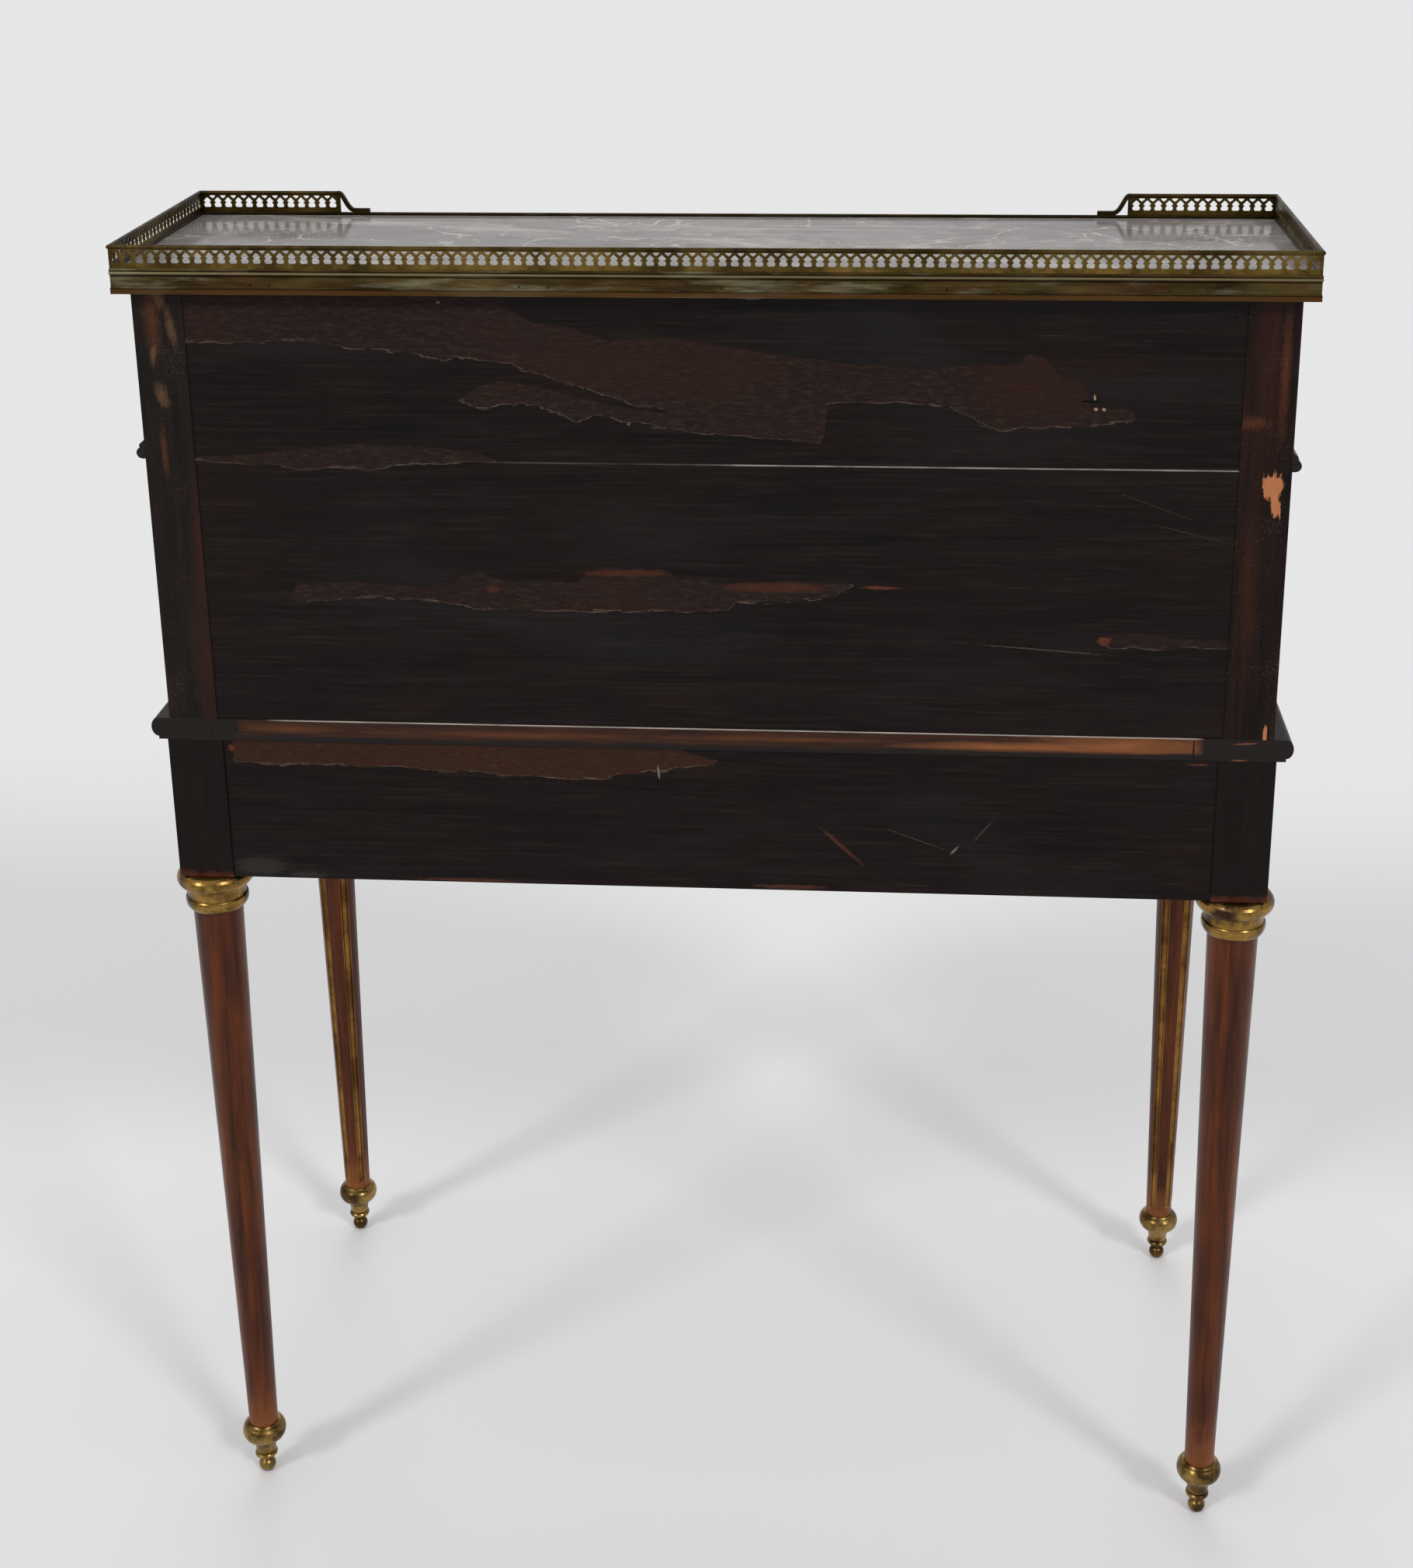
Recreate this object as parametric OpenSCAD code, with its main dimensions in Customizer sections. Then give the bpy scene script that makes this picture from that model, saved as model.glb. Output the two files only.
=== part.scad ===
// Bonheur du jour: a lady's writing table on turned legs. Its raised back holds three small drawers over
// two cupboards and an open niche, under a marble top with a pierced brass gallery.
// The front faces -Y and the back +Y. The origin is on the floor under the middle of the piece.

/* [Table] */
// Height of the table's upper surface
table_h = 739.5; // [710:0.5:780]
// Width across the table's frame
frame_w = 871; // [800:1:960]
// Depth of the table's frame
frame_d = 412.5; // [390:0.5:480]
// Thickness of the table top
top_t = 18; // [15:0.5:24]
// Projection of the table top's rounded edge beyond the frame
edge_proj = 12.5; // [12:0.5:18]
// Height of the small fillet under the rounded edge
edge_fillet = 2.5; // [1.5:0.1:4]
// Half width of the rounded edge's nose
edge_nose = 5.5; // [4:0.1:7.5]
// Width of the cleat at each end of the table top
cleat_w = 72; // [50:1:100]
// Length of the tongue that joins the table's field to its cleats
tongue_l = 8; // [5:0.5:12]
// Thickness of that tongue
tongue_t = 6; // [4:0.5:8]

/* [Frieze] */
// Height of the frieze
frieze_h = 120.5; // [108:0.5:150]
// Side of the square corner blocks
block_w = 44; // [42:0.5:52]
// Thickness of the frieze panels
panel_t = 20; // [14:0.5:24]
// How far the frieze panels sit behind the faces of the blocks
panel_inset = 1.5; // [0.5:0.1:4]
// Length of the tenons of the frieze panels and rails
tenon_l = 10; // [6:0.5:14]
// Thickness of those tenons
tenon_t = 8; // [6:0.5:10]
// Shoulder left above and below a panel's tenon
tenon_shoulder = 12; // [8:1:20]
// Height of the rail under the long drawer
rail_h = 12; // [10:0.5:16]
// Height of the rail between the long drawer and the writing slide
mid_rail_h = 8; // [6:0.5:12]
// Depth of the front rails
rail_d = 30; // [24:1:40]
// Width of the runners that carry the drawer and the slide
runner_w = 20; // [14:1:26]
// Height of the strip that guides the drawer along each side
guide_h = 20; // [12:1:30]
// Thickness of the slide bearers
bearer_t = 8; // [6:0.5:12]

/* [Legs] */
// Diameter of a leg under its capital
leg_top_d = 40.5; // [37:0.5:42]
// Diameter of a leg at its sabot
leg_foot_d = 25; // [22:0.5:28]
// Diameter of a leg inside its capital
neck_d = 34; // [30:0.5:36]
// Diameter of the round tenon that joins a leg to its block
dowel_d = 24; // [18:0.5:28]
// Length of that tenon
dowel_l = 38; // [25:1:50]
// Number of flutes on each front leg
flute_n = 5; // [4:1:6]
// Width of a flute at the top of the leg
flute_w = 10; // [7:0.5:11]
// Plain stretch of leg left beyond each end of a flute
flute_end = 6; // [4:0.5:14]
// Thickness of the brass that lines a flute
liner_t = 0.8; // [0.5:0.1:1.2]

/* [Leg mounts] */
// Height of a brass capital
capital_h = 35; // [30:0.5:40]
// Diameter of a capital's upper torus
capital_d = 62.6; // [58:0.2:66]
// Diameter of a capital's waist
waist_d = 48.6; // [46:0.2:50]
// Diameter of a capital's lower torus
collar_d = 51.2; // [50.5:0.1:54]
// Height of a brass sabot
sabot_h = 54; // [48:0.5:60]
// Diameter of a sabot's ring
ring_d = 38; // [36:0.2:42]
// Diameter of the bead above the ball foot
bead_d = 20; // [18:0.2:22]
// Diameter of the ball foot
ball_d = 14.8; // [13:0.2:16]
// Depth of the socket in a sabot
socket_l = 12; // [8:0.5:15]

/* [Upper part] */
// How far the upper part's sides stand in from the frame's
upper_inset = 3; // [0:0.5:12]
// Depth of the upper part
upper_d = 213; // [190:1:240]
// Height of the upper part's sides
upper_h = 345; // [325:1:390]
// Height of its lower register, with the cupboards
lower_h = 214.5; // [195:0.5:230]
// Thickness of the sides
side_t = 22; // [18:0.5:26]
// Thickness of the bottom board
base_t = 12; // [10:0.5:16]
// Depth of the housings cut in the sides for the boards
housing = 6; // [4:0.5:9]
// Thickness of the partitions
partition_t = 12; // [10:0.5:16]
// Visible width of a back stile
stile_w = 16.5; // [12:0.5:24]
// Thickness of a back stile
stile_t = 18; // [16:0.5:22]
// Thickness of the back boards
board_t = 10; // [7:0.5:12]
// How far the back boards sit behind the faces of the stiles
board_inset = 1; // [0.5:0.1:2]
// Overlap of a back board on its stile
rebate = 8; // [5:0.5:12]
// Height of the moulding between the registers
belt_h = 14.2; // [12:0.2:18]
// Projection of that moulding
belt_proj = 6.8; // [6:0.1:9]

/* [Marble and gallery] */
// Overhang of the top beyond the upper part
overhang = 11.5; // [9:0.5:14]
// Thickness of the wooden top under the marble
cap_t = 9; // [8:0.5:12]
// Thickness of the marble slab
marble_t = 8; // [6:0.5:14]
// Thickness of the brass band
band_t = 1.4; // [1:0.1:2]
// Projection of the band's mouldings beyond its face
band_step = 0.8; // [0.6:0.1:1.2]
// Height of the band's bottom lip
lip_h = 5.8; // [3:0.1:6.2]
// Height of the moulding at the band's upper edge
crown_h = 2.6; // [2:0.1:3.5]
// Height of the fillet that holds the marble's edge
fillet_h = 2.4; // [1.6:0.1:3]
// Height of the gallery above that fillet
gallery_h = 17.6; // [16.5:0.1:22]
// Thickness of the pierced sheet
sheet_t = 1.4; // [1:0.1:1.8]
// How far the sheet stands in from the outermost plane of the gallery
sheet_in = 1; // [0.8:0.1:1.4]
// Height of the gallery's top rail
rail_bead = 3.3; // [2.6:0.1:4]
// Distance from one opening to the next
motif_pitch = 8.84; // [8.2:0.02:10]
// Width of an opening
motif_w = 6.2; // [5:0.1:6.4]
// Length of each front return of the gallery
return_l = 144.5; // [110:0.5:200]
// Length of the S-curve in which a return ends
scroll_l = 15; // [14:0.5:24]
// Length of the foot beyond the S-curve
foot_l = 11.5; // [6:0.5:16]
// Diameter of the band's pins
pin_d = 1.6; // [1.2:0.1:2.2]
// Number of the band's pins along the front
pin_n = 5; // [3:1:9]

/* [Drawers and slide] */
// Gap round each drawer front and door
gap = 0.8; // [0.6:0.1:1.2]
// Gap between a sliding piece and what carries it
slip = 0.35; // [0.3:0.05:0.6]
// Thickness of the drawer fronts
front_t = 16; // [14:0.5:20]
// Thickness of the long drawer's sides
box_t = 9; // [7:0.5:12]
// Thickness of the small drawers' sides
small_box_t = 7; // [5:0.5:9]
// Thickness of the drawer bottoms
bottom_t = 5; // [4:0.5:6]
// Height of a drawer's bottom above the lower edge of its sides
bottom_rise = 5; // [3:0.5:8]
// Depth of the groove that holds a drawer's bottom
groove_d = 4; // [3:0.5:4.5]
// How much lower a drawer's sides are than its front
side_drop = 10; // [6:1:20]
// Space behind the long drawer and the slide
back_room = 8; // [4:1:20]
// Thickness of the writing slide
slide_t = 14; // [12:0.5:16]
// Thickness of the slide's leather
leather_t = 1.2; // [0.8:0.1:2]
// Wooden border round the leather
leather_border = 26; // [18:1:40]

/* [Doors] */
// Thickness of a door's frame
door_t = 16; // [14:0.5:20]
// Width of a door's stiles and rails
door_frame_w = 36; // [35:1:44]
// Thickness of a door's panel
door_panel_t = 8; // [6:0.5:9]
// Depth of the groove that holds the panel
panel_groove = 7; // [5:0.5:8]
// Width of the bevel round the panel's raised field
bevel_w = 16; // [10:1:24]
// Diameter of a hinge's knuckles
knuckle_d = 5.2; // [4.6:0.1:5.6]
// Diameter of a hinge's pin
hinge_pin_d = 2.2; // [1.8:0.1:2.6]
// Radial clearance round a turning pin
pin_clear = 0.05; // [0.02:0.01:0.09]
// Length of a hinge
hinge_l = 32; // [26:1:40]
// Width of a hinge's leaf
leaf_w = 12; // [10:0.5:14]
// Thickness of a hinge's leaf
leaf_t = 1.2; // [1:0.1:1.6]
// Distance from a door's edge to its hinge
hinge_set = 24; // [16:1:36]

/* [Fittings] */
// Outer diameter of a ring handle
ring_pull_d = 40; // [34:1:44]
// Diameter of a ring handle's rod
ring_rod_d = 3.6; // [3:0.1:4.4]
// Distance from the middle to each ring handle
pull_x = 235; // [180:1:290]
// Diameter of a ring handle's rosette
rosette_d = 26; // [20:1:30]
// Thickness of a ring handle's rosette
rosette_t = 1.8; // [1.4:0.1:2.4]
// Distance from a drawer's front to the pin of its ring handles
ring_stand = 7; // [6:0.5:9]
// Diameter of the lug that holds a ring handle's pin
lug_d = 8.4; // [7:0.2:9]
// Length of that lug
lug_l = 6.4; // [5:0.2:8]
// Diameter of a ring handle's pin
ring_pin_d = 2.6; // [2:0.1:3]
// Length of the pegs that hold knobs and rosettes in the wood
peg_l = 7; // [5:0.5:9]
// Diameter of those pegs
peg_d = 3.2; // [2.4:0.1:4]
// Diameter of the small drawers' knobs
knob_d = 13; // [10:0.5:15]
// Diameter of the writing slide's knobs
slide_knob_d = 11; // [8:0.5:12]
// Projection of the knobs
knob_l = 11; // [9:0.5:12]
// Diameter of an escutcheon
escutcheon_d = 15; // [12:0.5:20]
// Distance from the keyhole to the edge where the bolt leaves
lock_edge = 18; // [16:0.5:20]
// Width of a lock's case
lock_w = 26; // [22:1:27]
// Height of a lock's case
lock_h = 32; // [28:1:36]
// Depth of a lock's case
lock_d = 8; // [7:0.5:9]
// Thickness of a lock's plates
lock_plate = 1; // [0.8:0.1:1.4]
// Diameter of the key's shank
key_d = 3.2; // [2.6:0.1:3.8]
// Travel of the bolt
bolt_throw = 5; // [4:0.5:6]
// Length of the key outside the door
key_l = 24; // [20:1:32]

/* [Hidden] */
$fn = 48;
eps = 0.01;
left = -1;
right = 1;

// Plan of the piece
total_d = edge_proj + frame_d + overhang;
back_y = total_d / 2;
frame_y1 = back_y - overhang;
frame_y0 = frame_y1 - frame_d;
table_y0 = -total_d / 2;
table_w = frame_w + 2 * edge_proj;
leg_x = (frame_w - block_w) / 2;
leg_y1 = frame_y1 - block_w / 2;
leg_y0 = frame_y0 + block_w / 2;
bay_x = frame_w / 2 - block_w;

// Heights of the table
top_z = table_h - top_t;
frieze_z = top_z - frieze_h;
capital_z = frieze_z - capital_h;
slide_z = top_z - slip - slide_t;
mid_rail_z = slide_z - slip - mid_rail_h;
drawer_z = frieze_z + rail_h;

// The upper part
upper_w = frame_w - 2 * upper_inset;
upper_y0 = frame_y1 - upper_d;
upper_z = table_h + upper_h;
belt_z = table_h + lower_h;
inner_x = upper_w / 2 - side_t;
board_y = frame_y1 - board_inset - board_t;
stile_x = inner_x - stile_w;
bay_w = (2 * inner_x - 2 * partition_t) / 3;
partition_x = bay_w / 2;
cupboard_z = table_h + base_t;
small_z = belt_z + belt_h;

// The top
top_w = upper_w + 2 * overhang;
top_d = upper_d + 2 * overhang;
marble_z = upper_z + cap_t;
band_h = cap_t + marble_t;
sheet_z = upper_z + band_h + fillet_h;
gallery_z = sheet_z + gallery_h;
// Distances inwards from the outermost plane of the gallery
band_in = band_step + band_t;
rail_in = 2 * sheet_in + sheet_t;
fillet_in = band_in + 0.5 * band_t;
mitre_d = 20;

// ---------------------------------------------------------------- helpers

// A box between two limits along each axis
module slab(x, y, z) {
    translate([x[0], y[0], z[0]]) cube([x[1] - x[0], y[1] - y[0], z[1] - z[0]]);
}

module both_sides() {
    children();
    mirror([1, 0, 0]) children();
}

// A round bar along the piece's depth, between two values of y
module bar_y(d, x, y, z) {
    translate([x, y[0], z]) rotate([-90, 0, 0]) cylinder(h = y[1] - y[0], d = d);
}

// Points of an elliptical arc
function arc(centre, radii, from, to, n = 8) = [
    for (i = [0:n]) let (a = from + (to - from) * i / n)
        [centre[0] + radii[0] * cos(a), centre[1] + radii[1] * sin(a)]
];

function flip_x(points) = [for (p = points) [-p[0], p[1]]];
function shift_x(points, d) = [for (p = points) [p[0] + d, p[1]]];
function reversed(list) = [for (i = [len(list) - 1:-1:0]) list[i]];

// ---------------------------------------------------------------- legs

leg_foot_r = leg_foot_d / 2;
leg_top_r = leg_top_d / 2;
flute_z0 = sabot_h + flute_end + flute_w / 2;
flute_z1 = capital_z - flute_end - flute_w / 2;

function leg_r(z) = leg_foot_r + (leg_top_r - leg_foot_r) * (z - sabot_h) / (capital_z - sabot_h);
function flute_r(z) = flute_w / leg_top_d * leg_r(z);

flute_lean = atan((leg_r(flute_z1) - leg_r(flute_z0)) / (flute_z1 - flute_z0));
flute_l = (flute_z1 - flute_z0) / cos(flute_lean);

module leg_blank() {
    rotate_extrude() polygon([
        [0, sabot_h - socket_l], [leg_foot_r, sabot_h - socket_l], [leg_foot_r, sabot_h],
        [leg_top_r, capital_z], [neck_d / 2, capital_z], [neck_d / 2, frieze_z],
        [dowel_d / 2, frieze_z], [dowel_d / 2, frieze_z + dowel_l], [0, frieze_z + dowel_l]
    ]);
}

// A groove that follows the leg's taper and is rounded off at both ends, made smaller all round by inset
flute_end_a = 55;

module flute(inset = 0) {
    r0 = flute_r(flute_z0) - inset;
    r1 = flute_r(flute_z1) - inset;
    translate([leg_r(flute_z0), 0, flute_z0]) rotate([0, flute_lean, 0]) rotate_extrude() polygon(concat(
        [[0, -r0 * sin(flute_end_a)]],
        arc([0, 0], [r0, r0], -flute_end_a, 0, 2),
        arc([0, flute_l], [r1, r1], 0, flute_end_a, 2),
        [[0, flute_l + r1 * sin(flute_end_a)]]
    ));
}

module each_flute() {
    for (i = [0:flute_n - 1]) rotate(90 + (i + 0.5) * 360 / flute_n) children();
}

module plain_leg(x) {
    color("#5a2f20") translate([x, leg_y1, 0]) leg_blank();
}

module fluted_leg(x) {
    color("#5a2f20") translate([x, leg_y0, 0]) difference() {
        leg_blank();
        each_flute() flute();
    }
}

module flute_liners() {
    color("#8a7638") for (x = [-leg_x, leg_x]) translate([x, leg_y0, 0])
        each_flute() intersection() {
            rotate_extrude()
                polygon([[0, sabot_h], [leg_foot_r, sabot_h], [leg_top_r, capital_z], [0, capital_z]]);
            difference() {
                flute();
                flute(liner_t);
            }
        }
}

module at_each_leg() {
    for (x = [-leg_x, leg_x], y = [leg_y0, leg_y1]) translate([x, y, 0]) children();
}

// Turned capital: a large torus under the block, a waist and a collar on the leg
module leg_capitals() {
    collar_r = leg_top_r + 0.4;
    torus_r = 8;
    torus_h = 7.7;
    torus_z = capital_h - torus_h;
    color("#8a7638") at_each_leg() translate([0, 0, capital_z]) rotate_extrude() polygon(concat(
        [[neck_d / 2, 0]],
        arc([collar_r, 8], [collar_d / 2 - collar_r, 8], -90, 0, 6),
        arc([waist_d / 2 - 0.3, 8], [(collar_d - waist_d) / 2 + 0.3, 3], 20, 90, 3),
        [[waist_d / 2 - 0.4, 14], [waist_d / 2, torus_z - torus_h - 1.2],
         [waist_d / 2 + 0.8, torus_z - torus_h - 1.2], [waist_d / 2 + 0.8, torus_z - torus_h]],
        arc([capital_d / 2 - torus_r, torus_z], [torus_r, torus_h], -80, 90, 10),
        [[neck_d / 2, capital_h]]
    ));
}

// Turned sabot: ball foot, bead, flaring neck and ring, with a socket for the leg
module leg_sabots() {
    ball_r = ball_d / 2;
    flat = 62;
    ball_z = ball_r * sin(flat);
    bead_r = 2.5;
    bead_z = 0.35 * sabot_h;
    neck_r = bead_d / 2 - 1.2;
    neck_z = bead_z + bead_r + 1.2;
    ring_r = 6.5;
    ring_h = 8.6;
    ring_z = sabot_h - ring_h - 1;
    flare = ring_d / 2 - ring_r - neck_r;
    flare_h = ring_z - ring_h - neck_z + 0.6;
    color("#8a7638") at_each_leg() rotate_extrude() polygon(concat(
        [[0, 0]],
        arc([0, ball_z], [ball_r, ball_r], -flat, 55, 9),
        arc([bead_d / 2 - bead_r, bead_z], [bead_r, bead_r], -70, 70, 6),
        [for (t = [0:0.25:1]) [neck_r + flare * t * t, neck_z + flare_h * t]],
        arc([ring_d / 2 - ring_r, ring_z], [ring_r, ring_h], -65, 68, 12),
        [[leg_foot_r + 0.9, sabot_h], [leg_foot_r, sabot_h], [leg_foot_r, sabot_h - socket_l],
         [0, sabot_h - socket_l]]
    ));
}

// ---------------------------------------------------------------- table frame

// Tenons reach past the panels' ends into the blocks
module back_panel_shape() {
    y1 = frame_y1 - panel_inset;
    y0 = y1 - panel_t;
    mid = (y0 + y1) / 2;
    slab([-bay_x, bay_x], [y0, y1], [frieze_z, top_z]);
    slab([-bay_x - tenon_l, bay_x + tenon_l], [mid - tenon_t / 2, mid + tenon_t / 2],
         [frieze_z + tenon_shoulder, top_z - tenon_shoulder]);
}

module side_panel_shape() {
    x1 = frame_w / 2 - panel_inset;
    x0 = x1 - panel_t;
    mid = (x0 + x1) / 2;
    y = [frame_y0 + block_w, frame_y1 - block_w];
    slab([x0, x1], y, [frieze_z, top_z]);
    slab([mid - tenon_t / 2, mid + tenon_t / 2], [y[0] - tenon_l, y[1] + tenon_l],
         [frieze_z + tenon_shoulder, top_z - tenon_shoulder]);
}

module rail_shape(z, h) {
    slab([-bay_x, bay_x], [frame_y0, frame_y0 + rail_d], [z, z + h]);
    slab([-bay_x - tenon_l, bay_x + tenon_l], [frame_y0 + tenon_t, frame_y0 + 2 * tenon_t], [z, z + h]);
}

module front_rail_shapes() {
    rail_shape(frieze_z, rail_h);
    rail_shape(mid_rail_z, mid_rail_h);
}

module corner_blocks() {
    color("#33241f") difference() {
        at_each_leg() translate([-block_w / 2, -block_w / 2, frieze_z]) cube([block_w, block_w, frieze_h]);
        at_each_leg() translate([0, 0, frieze_z - eps]) cylinder(h = dowel_l + eps, d = dowel_d);
        back_panel_shape();
        both_sides() side_panel_shape();
        front_rail_shapes();
    }
}

module frieze_back() {
    color("#1f1613") back_panel_shape();
}

module frieze_sides() {
    color("#3a1c14") both_sides() side_panel_shape();
}

module front_rails() {
    color("#5a2f20") difference() {
        front_rail_shapes();
        at_long_lock() rotate([0, upwards, 0]) bolt_shape(front_t, slip, gap + bolt_throw);
    }
}

// Each runner fills the space between drawer and side panel, and runs on along the blocks
module runner(z, t, guide) {
    inner = frame_w / 2 - panel_inset - panel_t;
    y = [frame_y0 + rail_d, frame_y1 - panel_inset - panel_t];
    between = [frame_y0 + block_w, frame_y1 - block_w];
    slab([bay_x - runner_w, bay_x], y, [z, z + t]);
    slab([bay_x, inner], between, [z, z + t + guide]);
}

module runners() {
    color("#7a5a3c") both_sides() {
        runner(drawer_z - rail_h + 2, rail_h - 2, guide_h);
        runner(slide_z - slip - bearer_t, bearer_t, slide_t / 2);
    }
}

// ---------------------------------------------------------------- table top

// The rounded edge, from the underside to the upper surface, as distance beyond the frame and height
edge_nose_h = (top_t - edge_fillet) / 2;
edge_profile = concat(
    [[edge_proj - edge_nose, 0]],
    arc([edge_proj - edge_nose, edge_fillet + edge_nose_h], [edge_nose, edge_nose_h], -90, 90, 12)
);

module table_shape() {
    across = shift_x(edge_profile, frame_w / 2);
    front = shift_x(flip_x(edge_profile), frame_y0);
    intersection() {
        translate([0, frame_y1, top_z]) rotate([90, 0, 0])
            linear_extrude(frame_d + edge_proj)
                polygon(concat(across, reversed(flip_x(across))));
        translate([-table_w / 2, 0, top_z]) rotate([90, 0, 90])
            linear_extrude(table_w) polygon(concat([[frame_y1, 0]], front, [[frame_y1, top_t]]));
    }
}

module tongues() {
    x = table_w / 2 - cleat_w;
    mid = top_z + top_t / 2;
    slab([-x - tongue_l, x + tongue_l], [frame_y0, frame_y1], [mid - tongue_t / 2, mid + tongue_t / 2]);
}

module table_field() {
    x = table_w / 2 - cleat_w;
    color("#3a2a22") {
        intersection() {
            table_shape();
            slab([-x, x], [table_y0, frame_y1], [top_z, table_h]);
        }
        tongues();
    }
}

module table_cleats() {
    x = table_w / 2 - cleat_w;
    color("#231a16") difference() {
        table_shape();
        slab([-x, x], [table_y0 - 1, frame_y1 + 1], [top_z - 1, table_h + 1]);
        tongues();
    }
}

// ---------------------------------------------------------------- upper carcase

module stile_shape() {
    difference() {
        slab([stile_x - rebate, inner_x], [frame_y1 - stile_t, frame_y1], [table_h, upper_z]);
        slab([stile_x - rebate - 1, stile_x], [board_y, frame_y1 + 1], [table_h - 1, upper_z + 1]);
    }
}

// A board housed in both sides and fitted round the back stiles
module board_shape(z, t) {
    difference() {
        slab([-inner_x - housing, inner_x + housing], [upper_y0, board_y], [z, z + t]);
        both_sides() stile_shape();
    }
}

module side_shape() {
    difference() {
        slab([inner_x, upper_w / 2], [upper_y0, frame_y1], [table_h, upper_z]);
        board_shape(table_h, base_t);
        board_shape(belt_z, belt_h);
        for (z = hinge_zs) leaf_recess(z);
    }
}

module upper_side(side) {
    color("#4a241a") scale([side, 1, 1]) side_shape();
}

module back_stiles() {
    color("#33241f") both_sides() stile_shape();
}

module back_board(z0, z1) {
    color("#1a1512") slab([-stile_x, stile_x], [board_y, board_y + board_t], [z0, z1]);
}

module board(z, t) {
    color("#4a3024") board_shape(z, t);
}

// A wooden top that carries the marble and takes the band's pins
module top_board() {
    color("#4a3024") difference() {
        slab([band_in - top_w / 2, top_w / 2 - band_in], [back_y - top_d + band_in, back_y - band_in],
             [upper_z, marble_z]);
        band_pin_shanks();
    }
}

module partitions(z0, z1, bolt_holes) {
    color("#4a3024") difference() {
        both_sides() slab([partition_x, partition_x + partition_t], [upper_y0, board_y], [z0, z1]);
        if (bolt_holes) both_sides() bolt_mortise();
    }
}

// Cavetto above a round bead, as distance beyond the carcase and height
belt_bead = 0.32 * belt_h;
belt_profile = concat(
    [[0, 0]],
    arc([belt_proj - belt_bead, belt_bead], [belt_bead, belt_bead], -90, 75, 8),
    [[0.65 * belt_proj, 0.67 * belt_h], [0.56 * belt_proj, 0.83 * belt_h], [0.1 * belt_proj, belt_h],
     [0, belt_h]]
);

module belt_moulding() {
    half = upper_w / 2;
    across = shift_x(belt_profile, half);
    front = shift_x(flip_x(belt_profile), upper_y0);
    color("#2b2220") translate([0, 0, belt_z]) difference() {
        intersection() {
            translate([0, frame_y1, 0]) rotate([90, 0, 0]) linear_extrude(upper_d + belt_proj)
                polygon(concat(across, reversed(flip_x(across))));
            translate([-half - belt_proj, 0, 0]) rotate([90, 0, 90]) linear_extrude(2 * (half + belt_proj))
                polygon(concat([[frame_y1, 0]], front, [[frame_y1, belt_h]]));
        }
        slab([-half, half], [upper_y0, frame_y1 + 1], [-1, belt_h + 1]);
    }
}

// ---------------------------------------------------------------- marble, band and gallery

module marble_top() {
    color("#a39b9d") slab([band_in - top_w / 2, top_w / 2 - band_in],
                          [back_y - top_d + band_in, back_y - band_in], [marble_z, marble_z + marble_t]);
}

// Places a run of the band or gallery, which starts at 0 and lies outer face down on y = 0
module at_back() { translate([-top_w / 2, back_y, upper_z]) mirror([0, 1, 0]) children(); }
module at_front() { translate([-top_w / 2, back_y - top_d, upper_z]) children(); }
module at_left() { translate([-top_w / 2, back_y, upper_z]) rotate(-90) children(); }
module at_right() { mirror([1, 0, 0]) at_left() children(); }

// Keeps the stretch of a run between its two mitres
module mitred(l, h) {
    intersection() {
        children();
        linear_extrude(h) polygon([[0, 0], [l, 0], [l - mitre_d, mitre_d], [mitre_d, mitre_d]]);
    }
}

// Lip, plain face, crown and the fillet over the marble's edge, as distance inwards and height
band_profile = [
    [0.3, 0], [0.3, 0.7 * lip_h], [band_step, lip_h], [band_step, band_h - crown_h],
    [0.3, band_h - 0.8 * crown_h], [0.1, band_h - 0.4 * crown_h], [0.5, band_h], [0.5, band_h + 0.5],
    [0.3, band_h + fillet_h / 2], [sheet_in - 0.2, band_h + fillet_h], [fillet_in, band_h + fillet_h],
    [fillet_in, band_h], [band_in, band_h], [band_in, 0]
];

module band_run(l) {
    mitred(l, band_h + fillet_h) rotate([90, 0, 90]) linear_extrude(l) polygon(band_profile);
}

// Pins through the band into the wooden top, as shares of each run. Along the back they are uneven, and
// three older holes beside them are empty
pin_z = lip_h + 1.5;
pin_l = 7;
pin_head = 0.5;
back_pins = [0.123, 0.319, 0.486, 0.63, 0.864];
back_holes = [0.302, 0.654, 0.88];
function even(n) = [for (i = [0.5:n - 0.5]) i / n];

module pins_along(l, shares, cut) {
    for (share = shares) translate([l * share, band_step, pin_z]) rotate([-90, 0, 0]) {
        translate([0, 0, -cut]) cylinder(h = pin_l + cut, d = pin_d, $fn = 16);
        if (!cut) translate([0, 0, -pin_head]) cylinder(h = pin_head, d1 = pin_d, d2 = pin_d + 1, $fn = 16);
    }
}

module all_pins(cut = 0) {
    at_back() pins_along(top_w, back_pins, cut);
    at_front() pins_along(top_w, even(pin_n), cut);
    at_left() pins_along(top_d, even(2), cut);
    at_right() pins_along(top_d, even(2), cut);
}

module band_pin_shanks() { all_pins(band_step); }

module edge_band() {
    color("#6b5a2a") difference() {
        union() {
            at_back() band_run(top_w);
            at_front() band_run(top_w);
            at_left() band_run(top_d);
            at_right() band_run(top_d);
        }
        band_pin_shanks();
        at_back() pins_along(top_w, back_holes, band_step);
    }
}

module band_pins() {
    color("#8a7638") all_pins();
}

// Half of an opening, as shares of its width and height: a round foot, a waist and an arrow-shaped head
spade_half = [[0.36, 0], [0.5, 0.17], [0.46, 0.35], [0.27, 0.46], [0.5, 0.62], [0.33, 0.78], [0.12, 0.93]];
spade = concat(spade_half, [[0, 1]], reversed(flip_x(spade_half)));
spade_size = [motif_w, 8.3];

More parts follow.
